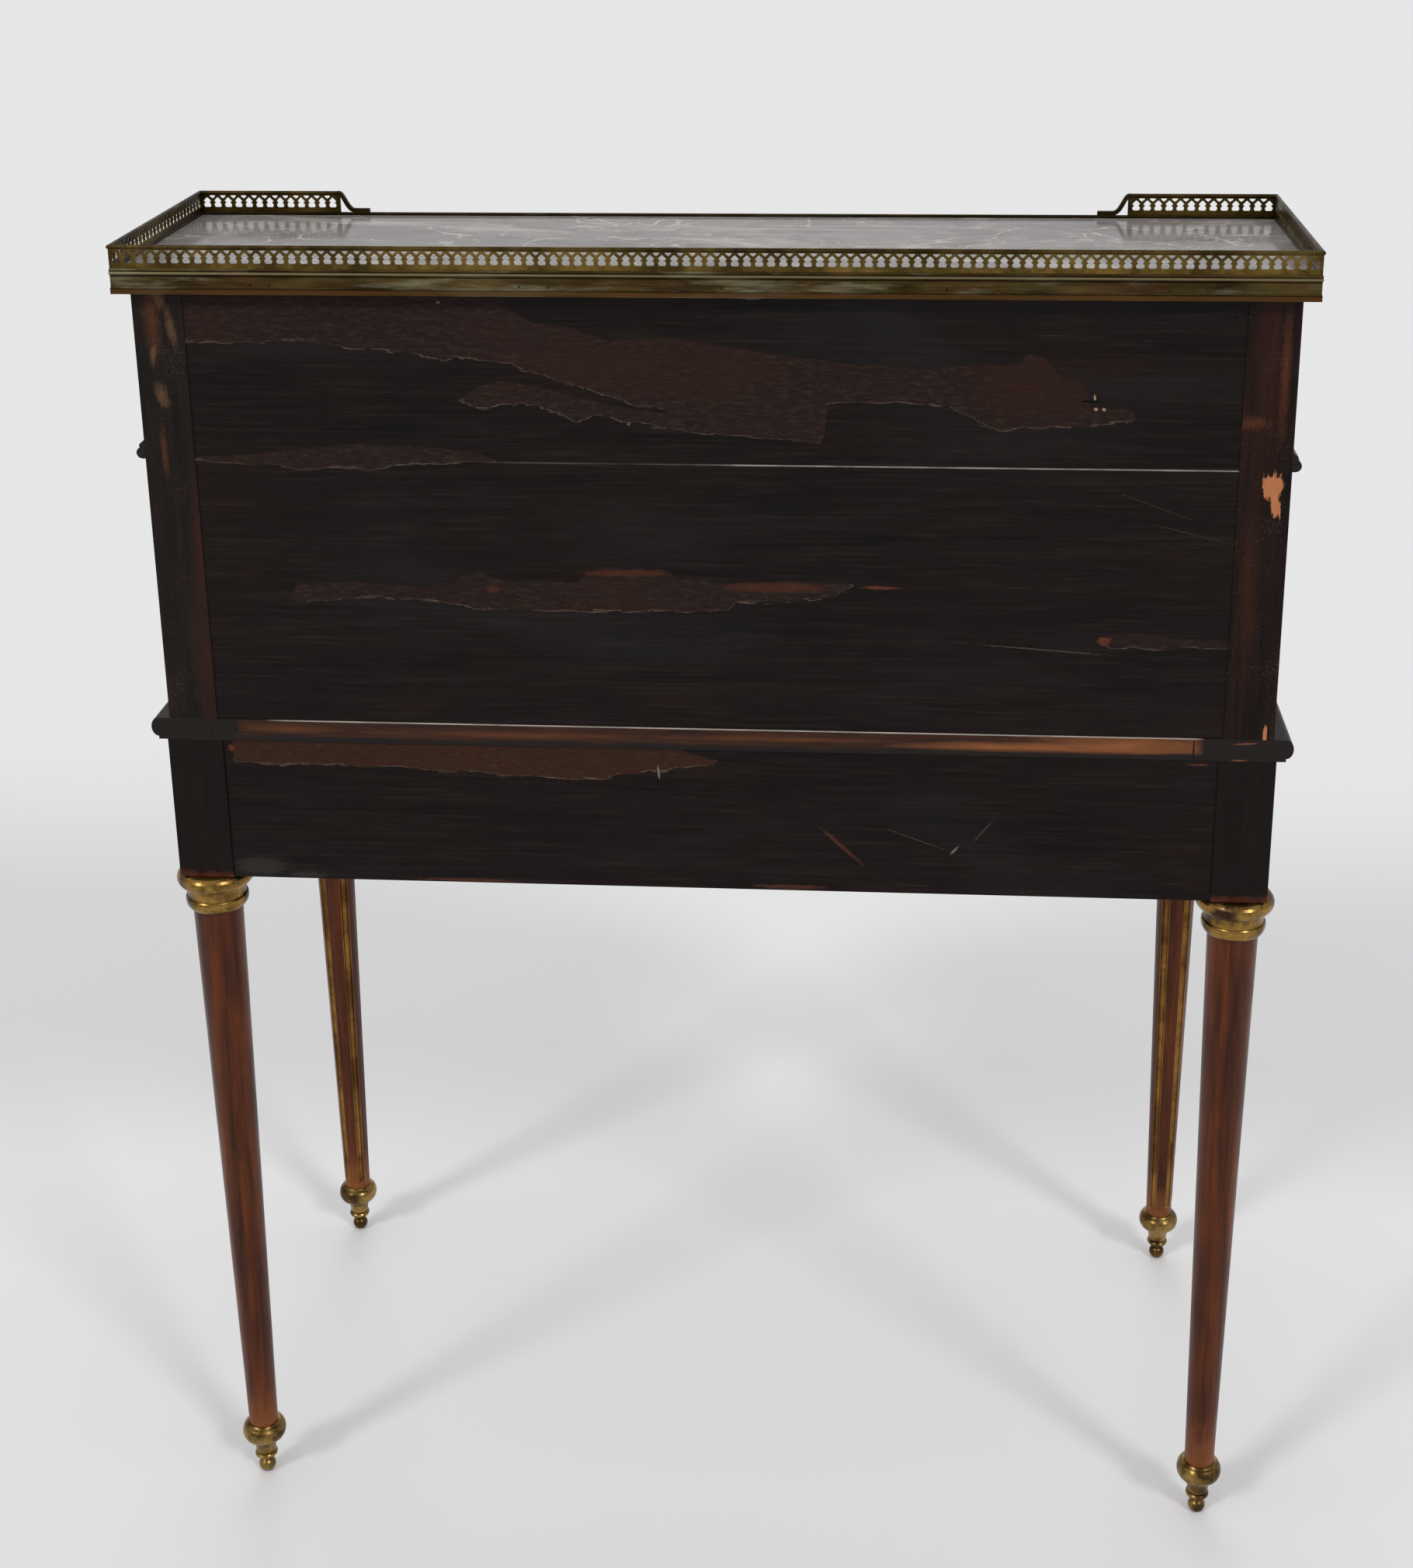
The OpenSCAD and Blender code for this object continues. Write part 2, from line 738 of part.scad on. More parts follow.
// The small heart-shaped opening between two heads, measured down from its flat top
heart_half = [[0, -1], [0.44, -0.42], [0.5, 0]];
heart = concat(flip_x([heart_half[2], heart_half[1]]), heart_half);
heart_size = [0.77 * motif_w, 2.7];
heart_top = 9.9;
web = 0.5;

function placed(points, at, size) = [for (p = points) [at[0] + p[0] * size[0], at[1] + p[1] * size[1]]];

// All openings of a run that has n of them from x on, with the hearts between them
sheet_h = gallery_h - rail_bead;
motif_z = sheet_h - heart_top - web;
function openings(x, n) = concat(
    [for (i = [0:n - 1]) placed(spade, [x + (i + 0.5) * motif_pitch, motif_z], spade_size)],
    [for (i = [1:n - 1]) placed(heart, [x + i * motif_pitch, motif_z + heart_top], heart_size)]
);

// One polygon holds the outline and every opening, so a run is a single pierced sheet
function joined(lists) = [for (l = lists) for (p = l) p];
function starts(lists, i = 0, at = 0) =
    i == len(lists) ? [] : concat([at], starts(lists, i + 1, at + len(lists[i])));

module pierced(outline, x, n) {
    lists = concat([outline], openings(x, n));
    at = starts(lists);
    translate([0, sheet_in + sheet_t, sheet_z - upper_z]) rotate([90, 0, 0]) linear_extrude(sheet_t)
        polygon(joined(lists), [for (i = [0:len(lists) - 1]) [for (k = [0:len(lists[i]) - 1]) at[i] + k]]);
}

// A straight sheet between two distances along a run, with its openings centred. A long one is made of
// several lengths, which are butted through the middle of a heart
sheet_seam = 0.08;
longest_sheet = 30;

// The edge of a length, upwards, with half a heart cut in it towards side s
function butt(x, s) = concat(
    [[x, 0]],
    [for (p = heart_half) [x + s * p[0] * heart_size[0], motif_z + heart_top + p[1] * heart_size[1]]],
    [[x, motif_z + heart_top], [x, sheet_h]]
);

module sheet_run(from, to) {
    n = floor((to - from - 2 * web) / motif_pitch);
    lengths = ceil(n / longest_sheet);
    x = (from + to - n * motif_pitch) / 2;
    for (i = [0:lengths - 1]) {
        first = round(n * i / lengths);
        after = round(n * (i + 1) / lengths);
        x0 = x + first * motif_pitch;
        x1 = x + after * motif_pitch;
        start = i == 0 ? [[from, 0], [from, sheet_h]] : butt(x0 + sheet_seam / 2, right);
        end = i == lengths - 1 ? [[to, 0], [to, sheet_h]] : butt(x1 - sheet_seam / 2, left);
        pierced(concat(end, reversed(start)), x0, after - first);
    }
}

// On a front return the rail falls in an S-curve to a foot on the band. The sheet ends upright under the
// start of the curve and leaves a gap before the foot
scroll_x = return_l - scroll_l - foot_l;
scroll_drop = gallery_h - rail_bead;
scroll_steps = 16;
sheet_steps = 5;
function scroll(t) = [scroll_x + scroll_l * t, gallery_h - scroll_drop * (t - sin(360 * t) / (2 * PI))];
function scroll_slope(t) = -scroll_drop * (1 - cos(360 * t)) / scroll_l;
function scroll_inner(t) = let (m = scroll_slope(t)) scroll(t) + rail_bead / sqrt(1 + m * m) * [m, -1];
scroll_top = [for (i = [0:scroll_steps]) scroll(i / scroll_steps)];
scroll_under = [for (i = [scroll_steps:-1:0]) scroll_inner(i / scroll_steps)];

module return_sheet() {
    n = floor((scroll_x - sheet_in - sheet_t - web) / motif_pitch);
    under = [for (i = [sheet_steps:-1:0]) scroll_inner(i / scroll_steps)];
    pierced(concat([[sheet_in, 0], [under[0][0], 0]], under, [[sheet_in, sheet_h]]),
            sheet_in + sheet_t + web, n);
}

// Rounded top rail, as distance inwards and height
rail_profile = concat(
    arc([rail_in / 2, gallery_h - rail_bead / 2], [rail_in / 2, rail_bead / 2], 215, -35, 10),
    [[sheet_in + sheet_t, gallery_h - rail_bead], [sheet_in, gallery_h - rail_bead]]
);

module rail_run(l) {
    translate([0, 0, sheet_z - upper_z]) mitred(l, gallery_h)
        rotate([90, 0, 90]) linear_extrude(l) polygon(rail_profile);
}

module return_rail() {
    translate([0, 0, sheet_z - upper_z]) {
        intersection() {
            rotate([90, 0, 90]) linear_extrude(scroll_x) polygon(rail_profile);
            linear_extrude(gallery_h)
                polygon([[0, 0], [scroll_x, 0], [scroll_x, mitre_d], [mitre_d, mitre_d]]);
        }
        translate([0, rail_in, 0]) rotate([90, 0, 0]) linear_extrude(rail_in) polygon(concat(
            scroll_top, [[return_l - 0.2 * rail_bead, rail_bead], [return_l, 0.8 * rail_bead], [return_l, 0]],
            scroll_under));
    }
}

module gallery_back() {
    color("#6b5a2a") at_back() sheet_run(sheet_in, top_w - sheet_in);
}

module gallery_sides() {
    color("#6b5a2a") both_sides() {
        at_left() sheet_run(sheet_in + sheet_t, top_d - sheet_in - sheet_t);
        at_front() return_sheet();
    }
}

module gallery_rail() {
    color("#8a7638") {
        at_back() rail_run(top_w);
        both_sides() {
            at_left() rail_run(top_d);
            at_front() return_rail();
        }
    }
}

// ---------------------------------------------------------------- fittings

// Turned knob on a front that faces -Y, with its base at the origin and a peg in the front
module knob(d, l) {
    rotate([90, 0, 0]) rotate_extrude() polygon(concat(
        [[0, -peg_l], [peg_d / 2, -peg_l], [peg_d / 2, 0], [0.42 * d, 0], [0.42 * d, 1], [0.2 * d, 2.4],
         [0.2 * d, 0.42 * l]],
        arc([0, 0.72 * l], [d / 2, 0.28 * l], -50, 90, 8)
    ));
}

module knob_hole() {
    bar_y(peg_d, 0, [-1, peg_l], 0);
}

// Round plate with a keyhole, on a front that faces -Y
keyhole_slot = 7.5;

module keyhole(d, y0, y1) {
    bar_y(d, 0, [y0, y1], 0);
    slab([-d / 4, d / 4], [y0, y1], [-keyhole_slot, 0]);
}

module escutcheon(key) {
    difference() {
        translate([0, 0, -2]) rotate([90, 0, 0]) rotate_extrude() polygon(concat(
            [[0, 0]], arc([escutcheon_d / 2 + 1 - 0.8, 0], [0.8, 1.2], 0, 90, 4), [[0, 1]]));
        keyhole(key, -3, 1);
    }
}

// A lock lies behind a front of thickness t that faces -Y. The origin is on the front at the keyhole's
// centre. Its bolt leaves towards +X, or upwards where turn is -90
key_hole_d = key_d + 2 * pin_clear;
bolt_z = 11;
bolt_h = 6;
bolt_w = 3.2;
bolt_l = 15;
bolt_rest = 0.5;

module lock_box(t, less = 0) {
    slab([lock_edge - lock_w + less, lock_edge - less], [t - lock_d + less, t - less],
         [less - lock_h / 2, lock_h / 2 - less]);
}

module bolt_shape(t, clear = 0, reach = -bolt_rest) {
    mid = t - lock_d / 2;
    slab([lock_edge - bolt_l - clear, lock_edge + reach],
         [mid - bolt_w / 2 - clear, mid + bolt_w / 2 + clear],
         [bolt_z - bolt_h / 2 - clear, bolt_z + bolt_h / 2 + clear]);
}

module lock_case(t, turn = 0) {
    difference() {
        rotate([0, turn, 0]) difference() {
            lock_box(t);
            lock_box(t, lock_plate);
            bolt_shape(t, slip, 1);
        }
        keyhole(key_hole_d, t - lock_d - 1, t - lock_d + lock_plate + eps);
    }
}

module lock_recess(t, turn = 0) {
    rotate([0, turn, 0]) {
        lock_box(t);
        bolt_shape(t, slip, 1);
    }
    keyhole(key_hole_d, -1, t - lock_d + eps);
}

// ---------------------------------------------------------------- writing slide

slide_y = [frame_y0, frame_y1 - panel_inset - panel_t - back_room];
slide_x = bay_x - gap;
leather_y = [slide_y[0] + leather_border, slide_y[1] - 2 * leather_border];

module leather_shape() {
    slab([leather_border - slide_x, slide_x - leather_border], leather_y,
         [slide_z + slide_t - leather_t, slide_z + slide_t]);
}

module at_slide_knobs() {
    for (x = [-pull_x, pull_x]) translate([x, slide_y[0], slide_z + slide_t / 2]) children();
}

module writing_slide() {
    color("#5a2f20") difference() {
        slab([-slide_x, slide_x], slide_y, [slide_z, slide_z + slide_t]);
        leather_shape();
        at_slide_knobs() knob_hole();
    }
}

module slide_leather() {
    color("#3f2a1c") leather_shape();
}

module slide_knobs() {
    color("#8a7638") at_slide_knobs() knob(slide_knob_d, knob_l);
}

// ---------------------------------------------------------------- drawers

// Sides, back and bottom of a drawer whose front's rear face is at y0, as separate boards
module drawer_box(half, y0, l, z, h, t) {
    y1 = y0 + l;
    floor_z = z + bottom_rise;
    for (s = [left, right]) difference() {
        slab(s > 0 ? [half - t, half] : [-half, t - half], [y0, y1], [z, z + h]);
        slab([-half + t - groove_d, half - t + groove_d], [y0 - 1, y1 + 1], [floor_z, floor_z + bottom_t]);
    }
    slab([t - half, half - t], [y1 - t, y1], [floor_z + bottom_t, z + h]);
    slab([-half + t - groove_d, half - t + groove_d], [y0, y1], [floor_z, floor_z + bottom_t]);
}

// The long drawer under the writing slide
long_half = bay_x - gap;
long_z = [drawer_z + gap, mid_rail_z - gap];
long_box_y = frame_y0 + front_t;
long_box_l = frame_y1 - panel_inset - panel_t - back_room - long_box_y;
long_box_h = min(slide_z - slip - bearer_t, mid_rail_z) - slip - drawer_z - slip;
upwards = -90;
ring_z = (long_z[0] + long_z[1]) / 2 + 0.4 * ring_pull_d;
ring_y = frame_y0 - ring_stand;

module at_rings() {
    for (x = [-pull_x, pull_x]) translate([x, 0, ring_z]) children();
}

module at_long_lock() {
    translate([0, frame_y0, long_z[1] - lock_edge]) children();
}

module long_drawer_front() {
    color("#5a2f20") difference() {
        slab([-long_half, long_half], [frame_y0, frame_y0 + front_t], long_z);
        at_rings() bar_y(peg_d, 0, [frame_y0 - 1, frame_y0 + peg_l], 0);
        at_long_lock() lock_recess(front_t, upwards);
    }
}

module long_drawer_box() {
    color("#8a6a48") drawer_box(long_half, long_box_y, long_box_l, drawer_z + slip, long_box_h, box_t);
}

// A rosette with a lug whose cross bore takes the ring handle's pin
module long_drawer_rosettes() {
    color("#8a7638") at_rings() difference() {
        union() {
            translate([0, frame_y0, 0]) rotate([90, 0, 0]) rotate_extrude() polygon(concat(
                [[0, -peg_l], [peg_d / 2, -peg_l], [peg_d / 2, 0]],
                arc([rosette_d / 2 - 1, 0], [1, 0.8 * rosette_t], 0, 90, 4),
                [[0.34 * rosette_d, 0.5 * rosette_t], [0.2 * rosette_d, rosette_t], [0, rosette_t]]
            ));
            bar_y(0.6 * lug_d, 0, [ring_y, frame_y0], 0);
            translate([0, ring_y, 0]) rotate([0, 90, 0]) cylinder(h = lug_l, d = lug_d, center = true);
        }
        translate([0, ring_y, 0]) rotate([0, 90, 0])
            cylinder(h = lug_l + 2, d = ring_pin_d + 2 * pin_clear, center = true);
    }
}

module long_drawer_lock() {
    color("#8a7638") at_long_lock() {
        escutcheon(key_hole_d);
        lock_case(front_t, upwards);
        rotate([0, upwards, 0]) bolt_shape(front_t);
    }
}

// The ring hangs from a straight pin that turns in the lug
ring_big_r = (ring_pull_d - ring_rod_d) / 2;
barrel_l = ring_rod_d + 0.6;
ring_arm = (lug_l + barrel_l) / 2 + 0.4;

module ring_handle(x) {
    open = asin(ring_arm / ring_big_r);
    drop = ring_big_r * cos(open);
    color("#8a7638") translate([x, ring_y, ring_z]) {
        rotate([0, 90, 0]) cylinder(h = 2 * ring_arm, d = ring_pin_d, center = true);
        translate([0, 0, -drop]) rotate([90, 0, 0]) rotate(90 + open)
            rotate_extrude(angle = 360 - 2 * open) translate([ring_big_r, 0])
                circle(d = ring_rod_d, $fn = 24);
        for (s = [left, right]) translate([s * ring_arm, 0, 0]) rotate([0, 90, 0])
            cylinder(h = barrel_l, d = ring_rod_d + 1, center = true);
    }
}

// The three small drawers
small_half = bay_w / 2 - gap;
small_z_range = [small_z + gap, upper_z - gap];
small_box_y = upper_y0 + front_t;
small_box_l = frame_y1 - stile_t - 2 - small_box_y;
small_box_h = upper_z - small_z - slip - side_drop;

function bay_at(i) = i * (bay_w + partition_t);

module at_small_knob(i) {
    translate([bay_at(i), upper_y0, (small_z_range[0] + small_z_range[1]) / 2]) children();
}

module small_front(i) {
    color("#5a2f20") difference() {
        translate([bay_at(i), 0, 0])
            slab([-small_half, small_half], [upper_y0, upper_y0 + front_t], small_z_range);
        at_small_knob(i) knob_hole();
    }
}

module small_box(i) {
    color("#8a6a48") translate([bay_at(i), 0, 0])
        drawer_box(small_half, small_box_y, small_box_l, small_z + slip, small_box_h, small_box_t);
}

module small_knob(i) {
    color("#8a7638") at_small_knob(i) knob(knob_d, knob_l);
}

// ---------------------------------------------------------------- doors

// The right door is drawn with its hinges at the right end of its opening and is mirrored for the left
door_x = [partition_x + partition_t + gap, inner_x - gap];
door_z = [cupboard_z + gap, belt_z - gap];
door_y = [upper_y0, upper_y0 + door_t];
hinge_x = inner_x - gap / 2;
hinge_y = upper_y0 - knuckle_d / 2 - 0.4;
hinge_zs = [door_z[0] + hinge_set + hinge_l / 2, door_z[1] - hinge_set - hinge_l / 2];
lock_z = (door_z[0] + door_z[1]) / 2;

module panel_shape() {
    f = door_frame_w - panel_groove;
    x = [door_x[0] + f, door_x[1] - f];
    z = [door_z[0] + f, door_z[1] - f];
    mid = (door_y[0] + door_y[1]) / 2;
    edge_t = 0.45 * door_panel_t;
    inset = panel_groove + bevel_w;
    slab(x, [mid - edge_t / 2, mid + edge_t / 2], z);
    difference() {
        slab([x[0] + panel_groove, x[1] - panel_groove], [mid - door_panel_t / 2, mid],
             [z[0] + panel_groove, z[1] - panel_groove]);
        for (s = [0, 1]) {
            translate([x[s], mid - edge_t / 2, 0]) rotate(s ? 180 - bevel_a : bevel_a)
                slab([0, inset + 10], s ? [0, 20] : [-20, 0], z);
            translate([0, mid - edge_t / 2, z[s]]) rotate([s ? bevel_a : -bevel_a, 0, 0])
                slab(x, [-20, 0], s ? [-inset - 10, 0] : [0, inset + 10]);
        }
    }
}

bevel_a = -atan(0.275 * door_panel_t / (panel_groove + bevel_w));

module at_door_lock() {
    translate([door_x[0] + lock_edge, door_y[0], lock_z]) mirror([1, 0, 0]) children();
}

module bolt_mortise() {
    at_door_lock() bolt_shape(door_t, slip, gap + bolt_throw);
}

module door_frame_shape() {
    f = door_frame_w;
    difference() {
        union() {
            slab([door_x[0], door_x[0] + f], door_y, door_z);
            slab([door_x[1] - f, door_x[1]], door_y, door_z);
            slab([door_x[0] + f, door_x[1] - f], door_y, [door_z[0], door_z[0] + f]);
            slab([door_x[0] + f, door_x[1] - f], door_y, [door_z[1] - f, door_z[1]]);
        }
        panel_shape();
        at_door_lock() lock_recess(door_t);
        for (z = hinge_zs) door_leaf_recess(z);
    }
}

module door_frame(side) {
    color("#5a2f20") scale([side, 1, 1]) door_frame_shape();
}

module door_panel(side) {
    color("#6a3826") scale([side, 1, 1]) panel_shape();
}

// Butt hinge: two knuckles and the pin belong to the carcase's leaf and one knuckle to the door's leaf
knuckle_h = hinge_l / 3;
hinge_gap = 0.3;

module leaf_recess(z) {
    slab([inner_x, inner_x + leaf_t], [upper_y0 - 1, upper_y0 + leaf_w], [z - hinge_l / 2, z + hinge_l / 2]);
}

module door_leaf_recess(z) {
    slab([door_x[1] - leaf_t, door_x[1] + 1], [upper_y0 - 1, upper_y0 + leaf_w],
         [z - hinge_l / 2, z + hinge_l / 2]);
}

module knuckle(z0, z1, extra = 0) {
    translate([hinge_x, hinge_y, z0]) cylinder(h = z1 - z0, d = knuckle_d + 2 * extra, $fn = 32);
}

module fixed_leaf(z) {
    h = hinge_l / 2;
    k = knuckle_h / 2;
    difference() {
        slab([inner_x, inner_x + leaf_t], [hinge_y, upper_y0 + leaf_w], [z - h, z + h]);
        knuckle(z - k - hinge_gap, z + k + hinge_gap, hinge_gap);
    }
    knuckle(z - h, z - k);
    knuckle(z + k, z + h);
    translate([hinge_x, hinge_y, z - k]) cylinder(h = knuckle_h, d = hinge_pin_d, $fn = 24);
}

module door_leaf(z) {
    h = hinge_l / 2;
    k = knuckle_h / 2;
    difference() {
        union() {
            difference() {
                slab([door_x[1] - leaf_t, door_x[1]], [hinge_y, upper_y0 + leaf_w], [z - h, z + h]);
                knuckle(z - h - 1, z - k + hinge_gap, hinge_gap);
                knuckle(z + k - hinge_gap, z + h + 1, hinge_gap);
            }
            knuckle(z - k + hinge_gap, z + k - hinge_gap);
        }
        translate([hinge_x, hinge_y, z - h]) cylinder(h = hinge_l, d = hinge_pin_d + 2 * pin_clear, $fn = 24);
    }
}

module hinge_fixed_leaves() {
    color("#8a7638") both_sides() for (z = hinge_zs) fixed_leaf(z);
}

module door_hinges(side) {
    color("#8a7638") scale([side, 1, 1]) for (z = hinge_zs) door_leaf(z);
}

module door_lock(side, with_bolt) {
    color("#8a7638") scale([side, 1, 1]) at_door_lock() {
        escutcheon(key_hole_d);
        lock_case(door_t);
        if (with_bolt) bolt_shape(door_t);
    }
}

module door_bolt() {
    color("#8d8f92") at_door_lock() bolt_shape(door_t);
}

// The key stands in the right door with its bit down, inside the lock
module door_key() {
    bit_r = 6.4;
    bow_r = 8;
    bow_rod = 2.6;
    y_in = door_t - lock_d / 2 + 1;
    color("#8a7638") at_door_lock() {
        bar_y(key_d, 0, [-key_l + bow_r - bow_rod / 2, y_in], 0);
        slab([-0.8, 0.8], [door_t - lock_d + lock_plate + 0.4, y_in], [-bit_r, 0]);
        bar_y(key_d + 2, 0, [-4, -2.6], 0);
        translate([0, -key_l, 0]) rotate([0, 90, 0])
            rotate_extrude() translate([bow_r - bow_rod / 2, 0]) circle(d = bow_rod, $fn = 20);
    }
}

// ---------------------------------------------------------------- the nodes

plain_leg(-leg_x);  // leg_rear_left
plain_leg(leg_x);  // leg_rear_right
fluted_leg(-leg_x);  // leg_front_left
fluted_leg(leg_x);  // leg_front_right
leg_capitals();
leg_sabots();
flute_liners();
corner_blocks();
frieze_back();
frieze_sides();
front_rails();
runners();
table_field();
table_cleats();
upper_side(left);  // upper_side_left
upper_side(right);  // upper_side_right
back_stiles();
back_board(belt_z, upper_z);  // back_board_upper
back_board(table_h, belt_z);  // back_board_lower
board(table_h, base_t);  // base_board
board(belt_z, belt_h);  // middle_board
top_board();
partitions(small_z, upper_z, false);  // drawer_dividers
partitions(cupboard_z, belt_z, true);  // cupboard_partitions
belt_moulding();
hinge_fixed_leaves();
marble_top();
edge_band();
band_pins();
gallery_back();
gallery_sides();
gallery_rail();
writing_slide();
slide_leather();
slide_knobs();
long_drawer_front();
long_drawer_box();
long_drawer_rosettes();
long_drawer_lock();
ring_handle(-pull_x);  // ring_left
ring_handle(pull_x);  // ring_right
small_front(-1);  // drawer_left_front
small_front(0);  // drawer_centre_front
small_front(1);  // drawer_right_front
small_box(-1);  // drawer_left_box
small_box(0);  // drawer_centre_box
small_box(1);  // drawer_right_box
small_knob(-1);  // drawer_left_knob
small_knob(0);  // drawer_centre_knob
small_knob(1);  // drawer_right_knob
door_frame(left);  // door_left_frame
door_panel(left);  // door_left_panel
door_hinges(left);  // door_left_hinges
door_lock(left, true);  // door_left_lock
door_frame(right);  // door_right_frame
door_panel(right);  // door_right_panel
door_hinges(right);  // door_right_hinges
door_lock(right, false);  // door_right_lock
door_bolt();
door_key();
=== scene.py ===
"""Finishes and studio of a bonheur du jour: an old writing table with a raised back, whose veneer is torn in
places, on brass-mounted legs and under a marble top with a pierced brass gallery."""

import math

import bmesh
import bpy
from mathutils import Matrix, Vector


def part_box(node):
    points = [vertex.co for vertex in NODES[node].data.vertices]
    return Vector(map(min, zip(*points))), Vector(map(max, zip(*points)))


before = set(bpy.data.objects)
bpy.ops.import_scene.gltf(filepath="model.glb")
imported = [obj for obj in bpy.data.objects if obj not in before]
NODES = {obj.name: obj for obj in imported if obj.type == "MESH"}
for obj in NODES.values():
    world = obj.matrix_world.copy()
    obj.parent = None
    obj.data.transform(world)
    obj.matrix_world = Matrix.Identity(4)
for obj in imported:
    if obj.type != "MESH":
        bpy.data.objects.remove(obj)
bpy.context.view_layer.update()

bl_info = {
    "name": "Bonheur du jour",
    "version": (1, 0, 0),
    "blender": (4, 5, 0),
    "location": "View3D > Sidebar > Bonheur du jour",
    "description": "Dresses the writing table in its veneer, brass, marble and leather, and lights it",
    "category": "Object",
}


def corners_mm(name):
    """A node's lowest and highest corners, in millimetres."""
    low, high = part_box(name)
    return [1000 * v for v in low], [1000 * v for v in high]


# Places on the object that patterns depend on, in millimetres: the joint between the back boards, the outer
# face of the back, the table top's back edge and upper face, the frieze's underside, and the brass band
JOINT_Z = corners_mm("back_board_lower")[1][2]
BACK_Y = corners_mm("back_stiles")[1][1]
TOP_BACK_Y = corners_mm("table_field")[1][1]
TOP_Z = corners_mm("table_field")[1][2]
FRIEZE_Z0 = corners_mm("frieze_back")[0][2]
BAND_Z0, BAND_Z1 = corners_mm("edge_band")[0][2], corners_mm("edge_band")[1][2]

# The studio's three far lamps: name, place in metres, spread in degrees and strength
LAMPS = (
    ("Left studio lamp", (4.0, 4.4, 4.4), 12, 0.85),
    ("Right studio lamp", (-3.9, 4.5, 4.4), 12, 0.85),
    ("Front studio lamp", (0.5, -5.0, 5.0), 25, 0.35),
)

# The camera: sensor and lens in millimetres, the lens's shift, its place in metres and its turn in degrees
SENSOR_MM = 36
LENS_MM = 53.75
LENS_SHIFT = (-0.0198, -0.1535)
EYE_PLACE = (-0.1527, 1.8894, 1.4520)
EYE_TURN = (71.6605, 0.5536, -175.7179)


# ---------------------------------------------------------------- colours and nodes


def linear(hex_colour):
    """The linear RGBA of an sRGB hex colour."""
    parts = [int(hex_colour[i : i + 2], 16) / 255 for i in (1, 3, 5)]
    return tuple(c / 12.92 if c <= 0.04045 else ((c + 0.055) / 1.055) ** 2.4 for c in parts) + (1.0,)


def node(tree, kind, inputs=(), out=0, **settings):
    """Adds a node and gives one of its outputs. Its sockets are filled by name or number, or in order from a
    list, each with a link, a hex colour or a plain value. The settings are the node's own properties."""
    made = tree.nodes.new("ShaderNode" + kind)
    for key, value in settings.items():
        setattr(made, key, value)
    for key, value in inputs.items() if isinstance(inputs, dict) else enumerate(inputs):
        if isinstance(value, bpy.types.NodeSocket):
            tree.links.new(value, made.inputs[key])
        else:
            made.inputs[key].default_value = linear(value) if isinstance(value, str) else value
    return made.outputs[out] if made.outputs else made


def begin(name):
    """An empty material, its node tree, and the place on the object in millimetres."""
    material = bpy.data.materials.new(name)
    material.use_nodes = True
    tree = material.node_tree
    tree.nodes.clear()
    place = node(tree, "TexCoord", out="Object")
    return material, tree, node(tree, "Mapping", {"Vector": place, "Scale": (1000, 1000, 1000)})


def complete(material, sockets):
    """Closes a material with its one shader, whose sockets get values or links."""
    tree = material.node_tree
    surface = node(tree, "BsdfPrincipled", sockets)
    node(tree, "OutputMaterial", {"Surface": surface})
    return material


def dress(material, *names):
    """Gives CAD nodes their material."""
    for name in names:
        mesh = NODES[name].data
        mesh.materials.clear()
        mesh.materials.append(material)


# ---------------------------------------------------------------- marks that several finishes share


def frayed(tree, mm, long_mm, wide_mm, along="x"):
    """A rough pattern, drawn out along the grain, that frays the edges of marks: its features' size in mm."""
    scale = [1 / (long_mm if axis == along else wide_mm) for axis in "xyz"]
    place = node(tree, "Mapping", {"Vector": mm, "Scale": scale})
    return node(tree, "TexNoise", {"Vector": place, "Scale": 1.0, "Detail": 5.0, "Roughness": 0.7})


# How far in front of the back a mark can still reach, in millimetres
MARK_DEPTH = 40
# The fray pattern is about 0.5, so that a mark ends near its half width, and up to half as far in or out
FRAY_REACH = 2.4
MARK_RIM = 2.1


def marked(tree, mm, colour, paint, places, fray, amount=1.0, soft=0.4):
    """Paints small frayed marks on the back, and not on the faces far in front of it. Each place is x, z,
    half width and half height in millimetres, and a turn in degrees. Soft is how slowly the paint fades at
    the rim, in half widths."""
    for x, z, half_x, half_z, turn in places:
        near = node(tree, "Mapping", {
            "Vector": mm, "Location": (x, BACK_Y, z), "Rotation": (0, math.radians(turn), 0),
            "Scale": (half_x, MARK_DEPTH, half_z),
        }, vector_type="TEXTURE")
        reach = node(tree, "VectorMath", [near], out="Value", operation="LENGTH")
        reach = node(tree, "Math", [fray, FRAY_REACH, reach], operation="MULTIPLY_ADD")
        inside = node(tree, "MapRange", [reach, MARK_RIM + soft / 2, MARK_RIM - soft / 2, 0, amount])
        colour = node(tree, "Mix", {0: inside, 6: colour, 7: paint}, out=2, data_type="RGBA")
    return colour


def height_along(tree, x, points):
    """The height, in millimetres, of a line of given (x, z) points at the place x."""
    xs, zs = zip(*points)
    x0, x1, z0, z1 = min(xs), max(xs), min(zs), max(zs) + 1
    share = node(tree, "MapRange", [x, x0, x1])
    line = node(tree, "FloatCurve", {"Value": share})
    curve = line.node.mapping.curves[0]
    places = sorted(((px - x0) / (x1 - x0), (pz - z0) / (z1 - z0)) for px, pz in points)
    while len(curve.points) < len(places):
        curve.points.new(0.5, 0.5)
    for point, place in zip(curve.points, places):
        point.location = place
        point.handle_type = "VECTOR"
    line.node.mapping.update()
    return node(tree, "Math", [line, z1 - z0, z0], operation="MULTIPLY_ADD")


